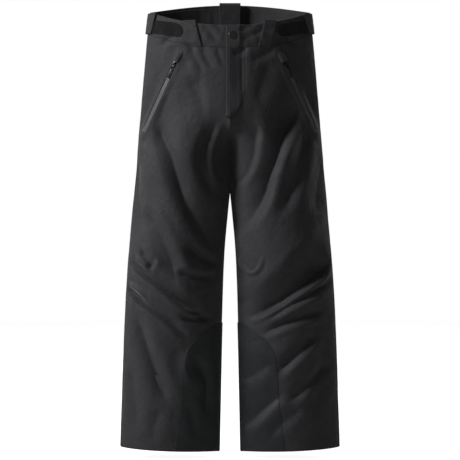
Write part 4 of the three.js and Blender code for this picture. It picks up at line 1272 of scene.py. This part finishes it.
def select_edges(piece, test):
    """In edit mode, selects the edges whose middle and direction pass a test."""
    bpy.ops.mesh.select_mode(type="EDGE")
    bpy.ops.mesh.select_all(action="DESELECT")
    mesh = bmesh.from_edit_mesh(piece.data)
    for edge in mesh.edges:
        ends = [v.co / MM for v in edge.verts]
        if test((ends[0] + ends[1]) / 2, (ends[1] - ends[0]).normalized()):
            edge.select_set(True)
    bmesh.update_edit_mesh(piece.data)
    bpy.ops.mesh.select_mode(type="FACE")


def add_block(name, low, high):
    """A block between two corners in millimetres, ready to be shaped in edit mode."""
    low, high = Vector(low), Vector(high)
    deselect_all()
    bpy.ops.mesh.primitive_cube_add(size=1, location=(low + high) / 2 * MM, scale=(high - low) * MM)
    piece = bpy.context.object
    piece.name = name
    bpy.ops.object.transform_apply(location=True, rotation=True, scale=True)
    return piece


SHARP_ANGLE = math.radians(40)


def soften(piece, width=0.0003, segments=2):
    """Rounds all the edges a little and shades the piece smoothly."""
    take(piece)
    bevel = piece.modifiers.new("edges", "BEVEL")
    bevel.width, bevel.segments = width, segments
    bevel.limit_method, bevel.angle_limit = "ANGLE", SHARP_ANGLE
    bpy.ops.object.modifier_apply(modifier=bevel.name)
    bpy.ops.object.shade_smooth_by_angle(angle=SHARP_ANGLE)


def join_onto(piece, others):
    """Joins other pieces to a piece, as parts of its mesh."""
    take(piece)
    for other in others:
        other.select_set(True)
    bpy.ops.object.join()
    return piece


def slider_body(name, start, lift):
    """A zip slider: a plate with a round head and a narrow tail, and the bridge that the pull hangs on."""
    plate = add_block(name, (-4.2, start, lift), (4.2, start + 11, lift + 2))
    bpy.ops.object.mode_set(mode="EDIT")
    select_faces(plate, lambda place, normal: normal.y > 0.9)
    bpy.ops.transform.resize(value=(0.72, 1, 1), center_override=Vector((0, start + 11, lift + 1)) * MM)
    select_edges(plate, lambda place, run: abs(run.z) > 0.9 and place.y < start + 1)
    bpy.ops.mesh.bevel(offset=0.0034, segments=6)
    select_faces(plate, lambda place, normal: normal.z > 0.9)
    bpy.ops.mesh.inset(thickness=0.0008)
    bpy.ops.transform.translate(value=(0, 0, 0.0002))
    bpy.ops.object.mode_set(mode="OBJECT")
    soften(plate, 0.00035)
    arch = add_block(name + "_bridge", (-0.95, start + 3, lift + 1.6), (0.95, start + 9, lift + 5))
    bpy.ops.object.mode_set(mode="EDIT")
    select_faces(arch, lambda place, normal: abs(normal.x) > 0.9)
    bpy.ops.mesh.inset(thickness=0.0011, use_individual=True)
    bpy.ops.mesh.bridge_edge_loops()
    bpy.ops.object.mode_set(mode="OBJECT")
    soften(arch, 0.0004)
    return join_onto(plate, [arch])


# How high the pull lies off a pocket zip's plane, and how far down the slider it is hinged.
PULL_LIFT = 2.75
HINGE = 6.8


def pull_frame(name, start):
    """A flat pull: a frame whose bar goes under the bridge, and a narrow neck."""
    y0 = start + HINGE - 0.5
    ring = add_block(name, (-3.1, y0, PULL_LIFT), (3.1, y0 + 6, PULL_LIFT + 1.2))
    bpy.ops.object.mode_set(mode="EDIT")
    select_faces(ring, lambda place, normal: abs(normal.z) > 0.9)
    bpy.ops.mesh.inset(thickness=0.0011, use_individual=True)
    bpy.ops.mesh.bridge_edge_loops()
    select_faces(ring, lambda place, normal: normal.y > 0.9 and place.y > y0 + 5.5)
    bpy.ops.mesh.extrude_region_move(TRANSFORM_OT_translate={"value": (0, 0.008, 0)})
    bpy.ops.transform.resize(value=(0.52, 1, 1), center_override=Vector((0, y0 + 14, PULL_LIFT)) * MM)
    bpy.ops.object.mode_set(mode="OBJECT")
    soften(ring)
    return ring


def pull_grip(name, start):
    """A moulded grip with a round end and ribs across it."""
    y0, low, high = start + HINGE + 13.8, PULL_LIFT - 0.4, PULL_LIFT + 1.6
    grip = add_block(name, (-2.2, y0, low), (2.2, y0 + 22, high))
    bpy.ops.object.mode_set(mode="EDIT")
    select_faces(grip, lambda place, normal: normal.y < -0.9)
    bpy.ops.transform.resize(value=(0.75, 1, 1), center_override=Vector((0, y0, 0)) * MM)
    select_edges(grip, lambda place, run: abs(run.z) > 0.9 and place.y > y0 + 21)
    bpy.ops.mesh.bevel(offset=0.0021, segments=5)
    bpy.ops.object.mode_set(mode="OBJECT")
    soften(grip, 0.0005)
    rib = add_block(name + "_rib", (-1.4, y0 + 6, high - 0.3), (1.4, y0 + 6.8, high + 0.25))
    soften(rib, 0.0002)
    ribs = [rib]
    for i in range(1, 6):
        copy = rib.copy()
        copy.data = rib.data.copy()
        copy.data.transform(Matrix.Translation((0, i * 0.002, 0)))
        bpy.context.scene.collection.objects.link(copy)
        ribs.append(copy)
    return join_onto(grip, ribs)


def fly_pull(matrix):
    """The fly slider's pull: a tapered plate with a round end and a line inset round its top and its bottom.
    """
    pull = add_block("fly_zip_puller", (-1.8, 4, 2.4), (1.8, 24, 3.1))
    bpy.ops.object.mode_set(mode="EDIT")
    select_faces(pull, lambda place, normal: normal.y < -0.9)
    bpy.ops.transform.resize(value=(0.6, 1, 1), center_override=Vector((0, 4, 2.7)) * MM)
    select_edges(pull, lambda place, run: abs(run.z) > 0.9 and place.y > 20)
    bpy.ops.mesh.bevel(offset=0.0016, segments=5)
    select_faces(pull, lambda place, normal: abs(normal.z) > 0.9)
    bpy.ops.mesh.inset(thickness=0.0006, use_individual=True)
    bpy.ops.object.mode_set(mode="OBJECT")
    soften(pull, 0.00015)
    pull.data.transform(matrix)
    return finish_piece(pull, plated_zinc(), "fly_slider", ["fly_zip_pull"])


# The cap's top from its rim inwards: the width of each step and its rise. It has a raised ring and a hollow.
SNAP_STEPS = ((0.0012, 0.0007), (0.0012, 0.0003), (0.0009, -0.00035), (0.0012, 0.0001), (0.0028, 0.00012))


class PANTS_OT_snap(bpy.types.Operator):
    """Press the snap fastener into the waistband"""
    bl_idname = "pants.snap"
    bl_label = "Snap"

    def execute(self, context):
        foot, tip = (Vector(on_skin(LEFT, SNAP_X, -SNAP_DROP, off).tolist()) for off in (0.0, 1.0))
        turn = (tip - foot).to_track_quat("Z", "Y").to_matrix().to_4x4()
        deselect_all()
        bpy.ops.mesh.primitive_cylinder_add(vertices=64, radius=0.0096, depth=0.0006, location=(0, 0, 0.0036))
        cap = bpy.context.object
        cap.name = "snap_dome"
        bpy.ops.object.transform_apply(location=True, rotation=True, scale=True)
        bpy.ops.object.mode_set(mode="EDIT")
        for rim, rise in SNAP_STEPS:
            select_faces(cap, lambda place, normal: normal.z > 0.9 and place.xy.length < 0.5)
            bpy.ops.mesh.inset(thickness=rim)
            bpy.ops.transform.translate(value=(0, 0, rise))
        bpy.ops.object.mode_set(mode="OBJECT")
        soften(cap, 0.0002)
        cap.data.transform(Matrix.Translation(foot * MM) @ turn)
        finish_piece(cap, lacquered_brass(), "fly_flap", ["snap_cap"])
        for node in ("snap_socket", "snap_stud", "snap_post"):
            finish_node(node, plated_zinc())
        return {"FINISHED"}


# --- Pockets --------------------------------------------------------------------------------------
SLIDER_START = 22  # how far down its zip a pocket slider rests


class PANTS_OT_pockets(bpy.types.Operator):
    """Fit the two pocket zips, the hoods over their heads and the bags behind them"""
    bl_idname = "pants.pockets"
    bl_label = "Pockets"

    def execute(self, context):
        for side, word in SIDES.items():
            matrix, run = in_metres(*zip_frame(side))
            self.zip(side, word, matrix, run)
            self.hood(side, word, matrix)
            self.bag(side, word)
        return {"FINISHED"}

    def zip(self, side, word, matrix, run):
        half = sizes().exposed_tape / MM / 2 - 0.05
        hands = ("front", "side") if side == RIGHT else ("side", "front")
        for hand, (left, right) in zip(hands, ((-half, -0.12), (0.12, half))):
            node = f"{word}_pocket_zip_tape_{hand}"
            ribbon(node, matrix, left, right, (-0.9, run + 0.9), -0.9, 0.9, coated_tape(), node)
        zip_coil(f"{word}_pocket_zip_teeth", matrix, 4.0, 1.1, run, -2.0, f"{word}_pocket_zip_coil")
        slider = slider_body(f"{word}_pocket_slider_body", SLIDER_START, 0.4)
        pull = pull_frame(f"{word}_pocket_pull_frame", SLIDER_START)
        grip = pull_grip(f"{word}_pocket_pull_grip", SLIDER_START)
        for piece, body, material, slot, node in (
                (slider, "slider", plated_zinc(), "zip_metal", "slider"),
                (pull, "pull", plated_zinc(), "zip_metal", "pull"),
                (grip, "pull", moulded_nylon(), "zip_plastic", "grip")):
            piece.data.transform(matrix)
            finish_piece(piece, material, f"{word}_pocket_{body}", [f"{word}_pocket_zip_{node}"])

    def hood(self, side, word, matrix):
        def place(a, b, off):
            across = 2 * a - 1
            y = mix(-5, 24, b)
            width = 8.6 * np.sqrt(np.clip(1 - 0.85 * np.clip((4 - y) / 9.5, 0, 1)**2, 0.05, 1))
            x = across * width
            rise = 4.1 * np.clip(1 - np.abs(across)**2.4, 0, 1) * smooth((y + 6) / 19)
            skirt = mix(0.35, 1.0, np.clip(rise / 2, 0, 1))
            return turned_by(matrix, np.stack([x, y, ZIP_SETBACK - 0.6 + rise + off * skirt], -1))
        node = f"{word}_pocket_zip_garage"
        sew(node, place, (24, 30), 1.1, shell_cloth(), [node],
            soft=0.8, step=1.0)

    def bag(self, side, word):
        def place(a, b, off):
            z = mix(-ZIP_TOP[1] - 10, -ZIP_BOTTOM[1] - 22, b)
            along = np.clip((-z - ZIP_TOP[1]) / (ZIP_BOTTOM[1] - ZIP_TOP[1]), 0, 1)
            behind = mix(ZIP_TOP[0], ZIP_BOTTOM[0] - 8, along) + 4
            x = side * mix(behind, 70 + 14 * (2 * b - 1)**4, a)
            wave = 0.5 * value_noise(a * 4, b * 6, 41 + side) - 0.6
            return front_points(x, z, off - 7.4 + wave)
        node = f"{word}_pocket_bag"
        sew(node, place, (80, 190), 0.8, lining_cloth(), [node],
            step=3)


# --- Waist adjusters and loops --------------------------------------------------------------------
TAB_FRONT = (168, 179)  # the distance across of the tab's slanted front end, at its top and foot
TAB_BACK = 0.3  # the u behind the side seam where it is sewn on
PATCH_TIP, PATCH_HALF = 107, 17  # the loop strip's round end and half its height


def tab_place(side):
    """The tab wraps round the side seam. Its front end is cut on a slant, with small round corners."""
    def place(a, b, off):
        z = mix(-3, -WAISTBAND + 1, b)
        front = u_at(FRONT, mix(*TAB_FRONT, b), z)
        corner = np.clip((a - 0.965) / 0.035, 0, 1)
        z = mix(-27, z, np.sqrt(1 - 0.16 * corner**2))
        w = mix(-TAB_BACK, front, a)
        lift = mix(-0.7, 2.8, smooth((w + TAB_BACK) / 0.17))
        return side_points(side, w, z, lift + off)
    return place


def tab_bend(side):
    """A tab's bend: the trousers, and two points where it is sewn on. finish_piece only reads whether it is
    given.
    """
    ends = side_points(side, np.array([-TAB_BACK, -TAB_BACK + 0.1]), -27.0, 0.0)
    return "trousers", ends[0], ends[1]


class PANTS_OT_waist_adjusters(bpy.types.Operator):
    """Sew the side tabs and the hook and loop strips that hold them"""
    bl_idname = "pants.waist_adjusters"
    bl_label = "Waist Adjusters"

    def execute(self, context):
        for side, word in SIDES.items():
            self.loop_strip(side, word)
            self.hook_strip(side, word)
            node = f"{word}_adjuster_tab"
            sew(node, tab_place(side), (92, 47), 1.7, shell_cloth(), [node],
                body=f"{word}_waist_tab", bend=tab_bend(side), soft=1.0, step=1.8)
        return {"FINISHED"}

    def loop_strip(self, side, word):
        def place(a, b, off):
            x = mix(TAB_FRONT[1] + 2, PATCH_TIP, a)
            past = np.maximum(0, (PATCH_TIP + PATCH_HALF - x) / PATCH_HALF)
            half = (PATCH_HALF - 1) * np.sqrt(np.maximum(0.01, 1 - past**2))
            fuzz = 0.12 * value_noise(x * 1.3, b * 34, 51) * np.clip(off, 0, 1)
            return front_points(side * x, mix(-33, -47, a) + half * (1 - 2 * b), 0.4 + off + fuzz)
        node = f"{word}_adjuster_loop_strip"
        sew(node, place, (74, 34), 1.1, loop_pile(), [node],
            soft=0.8, step=0.9)

    def hook_strip(self, side, word):
        def place(a, b, off):
            x = mix(TAB_FRONT[1] + 3, TAB_FRONT[1] - 7, a)
            return front_points(side * x, mix(-17, -44, b), 1.7 + off)
        node = f"{word}_adjuster_hook_strip"
        sew(node, place, (12, 27), 0.8, loop_pile(), [node], body=f"{word}_waist_tab",
            soft=0.3, step=0.9)


BELT_LOOP = (92, 77)  # the distance across of a front loop's middle, at its top and foot
BELT_LOOP_WIDTH = 27


def belt_loop_levels():
    """The heights of a front loop's two ends."""
    top = float(waist_edge(FRONT, front_u(BELT_LOOP[0]))) + 4.5
    bottom = float(waist_seam(FRONT, front_u(BELT_LOOP[1]))) - 3
    return top, bottom


def back_loop_ring():
    """The back loop's middle, and its directions towards the body and up, in millimetres."""
    top, foot = 31, -49
    edge = u_at(BACK, 24.5, foot)
    hollow = skin(BACK, 1.0, foot)[1] - skin(BACK, edge, foot)[1]
    deepest = -3.4 - 0.4 - 1.2 - 0.8 - float(hollow)
    high, low = (cloth(RIGHT, BACK, 1.0, z, deepest) * (0, 1, 1) for z in (top, foot))
    up = (high - low) / np.linalg.norm(high - low)
    out = np.array([0, up[2], -up[1]])
    return low - out * 5.6, out, up


class PANTS_OT_brace_loops(bpy.types.Operator):
    """Sew the two front loops and the wide loop for braces at the back"""
    bl_idname = "pants.brace_loops"
    bl_label = "Brace Loops"

    def execute(self, context):
        top, bottom = belt_loop_levels()
        for side, word in SIDES.items():
            def place(a, b, off):
                x = mix(*BELT_LOOP, b) + BELT_LOOP_WIDTH * (a - 0.5)
                lift = mix(0.1, 1.8, smooth(np.minimum(b, 1 - b) * 6))
                return front_points(side * x, mix(top, bottom, b), off + lift)
            node = f"{word}_front_suspender_loop"
            sew(node, place, (27, 62), 1.6, shell_cloth(), [node],
                soft=1.0, step=1.6)
        self.back()
        return {"FINISHED"}

    def back(self):
        """The back loop is a flat ring of tape: an arc at its foot, another at its head, and two runs."""
        low, out, up = back_loop_ring()
        radius, straight = 4.0, 80 - 11.2
        bend = math.pi * radius
        total = 2 * (straight + bend)

        def place(a, b, off):
            d = a * total
            on_arc = [(d < bend), (d < bend + straight), (d < 2 * bend + straight)]
            r = radius + off
            foot, head = math.pi * (1 + d / bend), math.pi * (d - bend - straight) / bend
            p = np.select(on_arc, [r * np.cos(foot), r, r * np.cos(head)], -r)
            q = np.select(on_arc, [5.6 + r * np.sin(foot), 5.6 + d - bend, 5.6 + straight + r * np.sin(head)],
                          5.6 + straight - (d - 2 * bend - straight))
            x = 24.5 * (2 * b - 1)
            return low + p[..., None] * out + q[..., None] * up + x[..., None] * np.array([1, 0, 0])
        sew("back_suspender_loop", place, (total, 49), 1.6, shell_cloth(),
            ["back_suspender_loop"], body="back_brace_loop", bend=("trousers", low + up * 3, low + up * 16),
            step=1.6, ring=True)


# --- Lower legs -----------------------------------------------------------------------------------
guard_x = profile((-GUARD_TOP, 30), (-GUARD_TOP - 48, 90), (-GUARD_TOP - 100, 107), (-GUARD_TOP - 172, 111),
                  (HEM, 126))


def guard_place(side):
    """The guard runs from its front edge round the inseam to its back edge."""
    def place(a, b, off):
        share = 1 - np.abs(2 * a - 1)
        z = mix(-GUARD_TOP, HEM + 1.5, b**1.5)
        points = np.zeros(a.shape + (3,))
        for face in (FRONT, BACK):
            mine = (a < 0.5) if face == FRONT else (a >= 0.5)
            edge = u_at(face, guard_x(z[mine]), z[mine])
            u = mix(edge, 1, share[mine])
            level = z[mine] + HEM_SLANT * (1 - u) * b[mine]**2
            points[mine] = surface(side, face, u, level, off[mine] - 0.15)
        return points
    return place


def leg_tube(side, z, angle, wide, deep, inset):
    """Points of an oval tube inside a leg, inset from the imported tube's outside."""
    half = (outer_x(z) - inner_x(z)) / 2
    middle = (outer_x(z) + inner_x(z)) / 2
    room = (front_depth(z) + back_depth(z)) / 2 - 3.7
    y = seam_y(z) + (back_depth(z) - front_depth(z)) / 2 + (room * deep - inset) * np.sin(angle)
    return np.stack([side * (middle + (half * wide - inset) * np.cos(angle)), y, z], -1)


class PANTS_OT_lower_legs(bpy.types.Operator):
    """Sew the scuff guards, the snow gaiters and the hem facings"""
    bl_idname = "pants.lower_legs"
    bl_label = "Lower Legs"

    def execute(self, context):
        for side, word in SIDES.items():
            sew(f"{word}_scuff_guard", guard_place(side), (240, 295), 0.9, guard_cloth(),
                [f"{word}_scuff_guard"], soft=1.2, step=3.2)
            self.gaiter(side, word)
            self.facing(side, word)
        return {"FINISHED"}

    def gaiter(self, side, word):
        foot = HEM + 30
        head = foot + 150

        def shares(z):
            t = np.clip((z - foot) / (head - foot), 0, 1)
            return mix(0.6, 0.72, t), mix(0.86, 1.0, t)

        def place(a, b, off):
            z, angle = mix(head, foot, b), 2 * math.pi * a
            wide, deep = shares(z)
            gather = smooth(b * 1.4)
            ripple = gather * (0.9 * np.sin(angle * 23) + 0.7 * np.sin(angle * 15 + 3 * b))
            return leg_tube(side, z, angle, wide, deep, 4.8 - ripple - off)
        node = f"{word}_snow_gaiter"
        sew(node, place, (330, 150), 0.7, lining_cloth(), [node],
            ring=True, step=2.6)

        def grip(a, b, off):
            z, angle = mix(foot + 24, foot + 1, b), 2 * math.pi * a
            wide, deep = shares(z)
            rib = 0.12 * np.cos(b * 12 * math.pi) * np.clip(off, 0, 1)
            return leg_tube(side, z, angle, wide, deep, 7.6 - rib - off)
        node = f"{word}_gaiter_elastic"
        sew(node, grip, (300, 23), 0.8, elastic_web(), [node],
            ring=True, step=1.6)

    def facing(self, side, word):
        def place(a, b, off):
            z = mix(HEM + 25, HEM + 2, b) + HEM_SLANT * np.abs(2 * a - 1)
            return leg_tube(side, z, 2 * math.pi * a, 0.74, 1.0, 3.2 - off)
        node = f"{word}_hem_facing"
        sew(node, place, (420, 23), 0.8, lining_cloth(), [node],
            ring=True, step=2.4)


# --- Topstitching ---------------------------------------------------------------------------------
# The curved seam that holds the flap, as (x, height), and the seam round a tab, as shares across and down it.
FLY_SEAM = [(29, -82), (29, -140), (29, -190), (26.5, -214), (20, -231), (9, -241), (-5, -245)]
TAB_SEAM = [(0.1, 0.09), (0.5, 0.09), (0.95, 0.09), (0.968, 0.2), (0.968, 0.8), (0.95, 0.91), (0.5, 0.91),
            (0.1, 0.91)]


class PANTS_OT_stitching(bpy.types.Operator):
    """Topstitch the seams"""
    bl_idname = "pants.stitching"
    bl_label = "Topstitching"

    def execute(self, context):
        self.waist()
        self.fly()
        self.legs()
        self.tabs_and_loops()
        return {"FINISHED"}

    def waist(self):
        tracks = []
        for side in SIDES:
            for face in (FRONT, BACK):
                for drop in (5.5, WAISTBAND - 3.5):
                    last = float(front_u(34)) if (side, face) == (LEFT, FRONT) else 0.995
                    u = np.linspace(0.005, last, 120)
                    tracks.append(track_on(side, face, u, waist_edge(face, u) - drop, 0.05))
        stitches("waist_stitching", tracks)

    def fly(self):
        j = smooth_path(FLY_SEAM, 2)
        sink = 1 - smooth((j[:, 1] - flap_foot(j[:, 0]) - 1) / 9)
        curve = track_front(j[:, 0], j[:, 1], flap_off(j[:, 0], FLAP_THICK, FLAP_THICK, sink) + 0.12)
        edge_z = np.linspace(-82, -238, 100)
        edge_x = np.full(100, FLAP_EDGE + 3)
        edge = track_front(edge_x, edge_z, flap_off(edge_x, FLAP_THICK, FLAP_THICK) + 0.35)
        stitches("fly_stitching", [curve, edge], body="fly_flap", bend=FLAP_BEND)

    def legs(self):
        for side, word in SIDES.items():
            tracks = []
            for face in (FRONT, BACK):
                u = np.linspace(0.01, 0.985, 140)
                hem = HEM + HEM_SLANT * (1 - u) + 25
                off = np.where(np.abs(cloth(side, face, u, hem)[:, 0]) < guard_x(hem) - 1, 0.8, 0.05)
                tracks.append(track_on(side, face, u, hem, off))
                b = np.linspace(0.005, 1, 160)
                z = mix(-GUARD_TOP - 3, HEM + 4, b**1.5)
                tracks.append(track_on(side, face, u_at(face, guard_x(z) - 2.2, z), z, 0.78))
            stitches(f"{word}_leg_stitching", tracks)

    def tabs_and_loops(self):
        top, bottom = belt_loop_levels()
        for side, word in SIDES.items():
            place = tab_place(side)
            ring = smooth_path(TAB_SEAM, 0.02)
            a, b = ring[:, 0], ring[:, 1]
            points = place(a, b, np.full(a.shape, 1.72))
            normals = place(a, b, np.full(a.shape, 2.72)) - points
            stitches(f"{word}_tab_stitching", [(points, normals)], body=f"{word}_waist_tab",
                     bend=tab_bend(side))
            tracks = []
            for share in (0.09, 0.91):
                b = np.linspace(0.03, 0.97, 40)
                x = mix(*BELT_LOOP, b) + BELT_LOOP_WIDTH * (share - 0.5)
                lift = mix(0.1, 2.6, smooth(np.minimum(b, 1 - b) * 6)) + 1.62
                tracks.append(track_front(side * x, mix(top, bottom, b), lift))
            for b in (0.05, 0.94):
                x = mix(*BELT_LOOP, b) + BELT_LOOP_WIDTH * np.linspace(-0.42, 0.42, 20)
                lift = float(mix(0.1, 2.6, smooth(min(b, 1 - b) * 6))) + 1.62
                tracks.append(track_front(side * x, np.full(20, mix(top, bottom, b)), lift))
            stitches(f"{word}_loop_stitching", tracks)


# --- Studio ---------------------------------------------------------------------------------------
CAMERA_DISTANCE = 4.0
VIEW_HEIGHT, VIEW_MIDDLE = 1.058, -0.5  # the height that the camera takes in at the pants, and its middle
SENSOR = 36
LIGHT_AIM = Vector((0, 0, -0.45))
# Each soft light's name, place, size and power.
LIGHTS = (
    ("key", (-3.0, -1.25, 1.5), 0.8, 116),
    ("fill", (1.6, -3.2, 0.8), 1.6, 7),
    ("back_left", (-2.4, 2.4, 1.4), 1.4, 42),
    ("back_right", (2.8, 1.9, 1.4), 1.4, 36),
)


class PANTS_OT_studio(bpy.types.Operator):
    """Set up the pale floor, the soft lights and the camera"""
    bl_idname = "pants.studio"
    bl_label = "Studio"

    def execute(self, context):
        self.floor()
        self.camera(context)
        for light in LIGHTS:
            self.light(*light)
        self.surroundings(context)
        return {"FINISHED"}

    def surroundings(self, context):
        """White to the camera, and almost dark to the pants, so that the cloth keeps its shading."""
        world = bpy.data.worlds.new("pale_studio")
        context.scene.world = world
        world.use_nodes = True
        tree = world.node_tree
        seen = add_node(tree, "ShaderNodeLightPath").outputs["Is Camera Ray"]
        strength = add_node(tree, "ShaderNodeMapRange", {"To Min": 0.03, "To Max": 1.0}, {"Value": seen})
        background = tree.nodes["Background"]
        background.inputs["Color"].default_value = (1, 1, 1, 1)
        tree.links.new(strength.outputs[0], background.inputs["Strength"])

    def floor(self):
        """A wide pale floor under the pants."""
        deselect_all()
        low = CAD_BOX[0][2] - 0.012
        bpy.ops.mesh.primitive_plane_add(size=12, location=(0, 0, low))
        floor = bpy.context.object
        floor.name = "studio_floor"
        bpy.ops.object.transform_apply(location=True, rotation=True, scale=True)
        material, tree, shader = new_material("pale_seamless_paper")
        # Matte paper: the light that it gives off itself keeps it an even pale tone.
        grain = add_node(tree, "ShaderNodeTexNoise", {"Scale": 40, "Detail": 2},
                         {"Vector": add_node(tree, "ShaderNodeTexCoord").outputs["Object"]}).outputs["Fac"]
        tree.links.new(shade(tree, colours().floor, 0.01, grain), shader.inputs["Base Color"])
        shader.inputs["Roughness"].default_value = 0.9
        shader.inputs["Emission Color"].default_value = (1, 1, 1, 1)
        seen = add_node(tree, "ShaderNodeLightPath").outputs["Is Camera Ray"]
        glow = add_node(tree, "ShaderNodeMath", {"operation": "MULTIPLY", 1: 0.93}, {0: seen})
        tree.links.new(glow.outputs[0], shader.inputs["Emission Strength"])
        floor.data.materials.append(material)

    def camera(self, context):
        data = bpy.data.cameras.new("camera")
        data.sensor_width = SENSOR
        data.lens = SENSOR * CAMERA_DISTANCE / VIEW_HEIGHT
        camera = bpy.data.objects.new("camera", data)
        camera.location = (0, -CAMERA_DISTANCE, VIEW_MIDDLE)
        camera.rotation_euler = (math.pi / 2, 0, 0)
        context.scene.collection.objects.link(camera)
        context.scene.camera = camera

    def light(self, name, place, size, power):
        data = bpy.data.lights.new(name, "AREA")
        data.size, data.energy = size, power
        light = bpy.data.objects.new(name, data)
        light.location = place
        aim = LIGHT_AIM - Vector(place)
        light.rotation_euler = aim.to_track_quat("-Z", "Y").to_euler()
        bpy.context.scene.collection.objects.link(light)


class PANTS_PT_panel(bpy.types.Panel):
    """Lists the pants' sizes, colours and pieces"""
    bl_idname = "PANTS_PT_panel"
    bl_label = "Ski Pants"
    bl_space_type = "VIEW_3D"
    bl_region_type = "UI"
    bl_category = "Ski Pants"

    def draw(self, context):
        for group in (context.scene.pants_sizes, context.scene.pants_colours):
            for name in group.bl_rna.properties.keys():
                if name not in {"rna_type", "name"}:
                    self.layout.prop(group, name)
        for operator in OPERATORS:
            self.layout.operator(operator.bl_idname)


OPERATORS = (PANTS_OT_studio, PANTS_OT_leg_panels, PANTS_OT_waistband, PANTS_OT_fly, PANTS_OT_snap,
             PANTS_OT_pockets, PANTS_OT_waist_adjusters, PANTS_OT_brace_loops, PANTS_OT_lower_legs,
             PANTS_OT_stitching)
CLASSES = (PantsSizes, PantsColours, *OPERATORS, PANTS_PT_panel)


def register():
    for cls in CLASSES:
        bpy.utils.register_class(cls)
    bpy.types.Scene.pants_sizes = PointerProperty(type=PantsSizes)
    bpy.types.Scene.pants_colours = PointerProperty(type=PantsColours)


def unregister():
    del bpy.types.Scene.pants_colours
    del bpy.types.Scene.pants_sizes
    for cls in reversed(CLASSES):
        bpy.utils.unregister_class(cls)


def main():
    register()
    bpy.context.scene.view_settings.view_transform = "Standard"
    for operator in OPERATORS:
        module, action = operator.bl_idname.split(".")
        getattr(getattr(bpy.ops, module), action)()


if __name__ == "__main__":
    main()
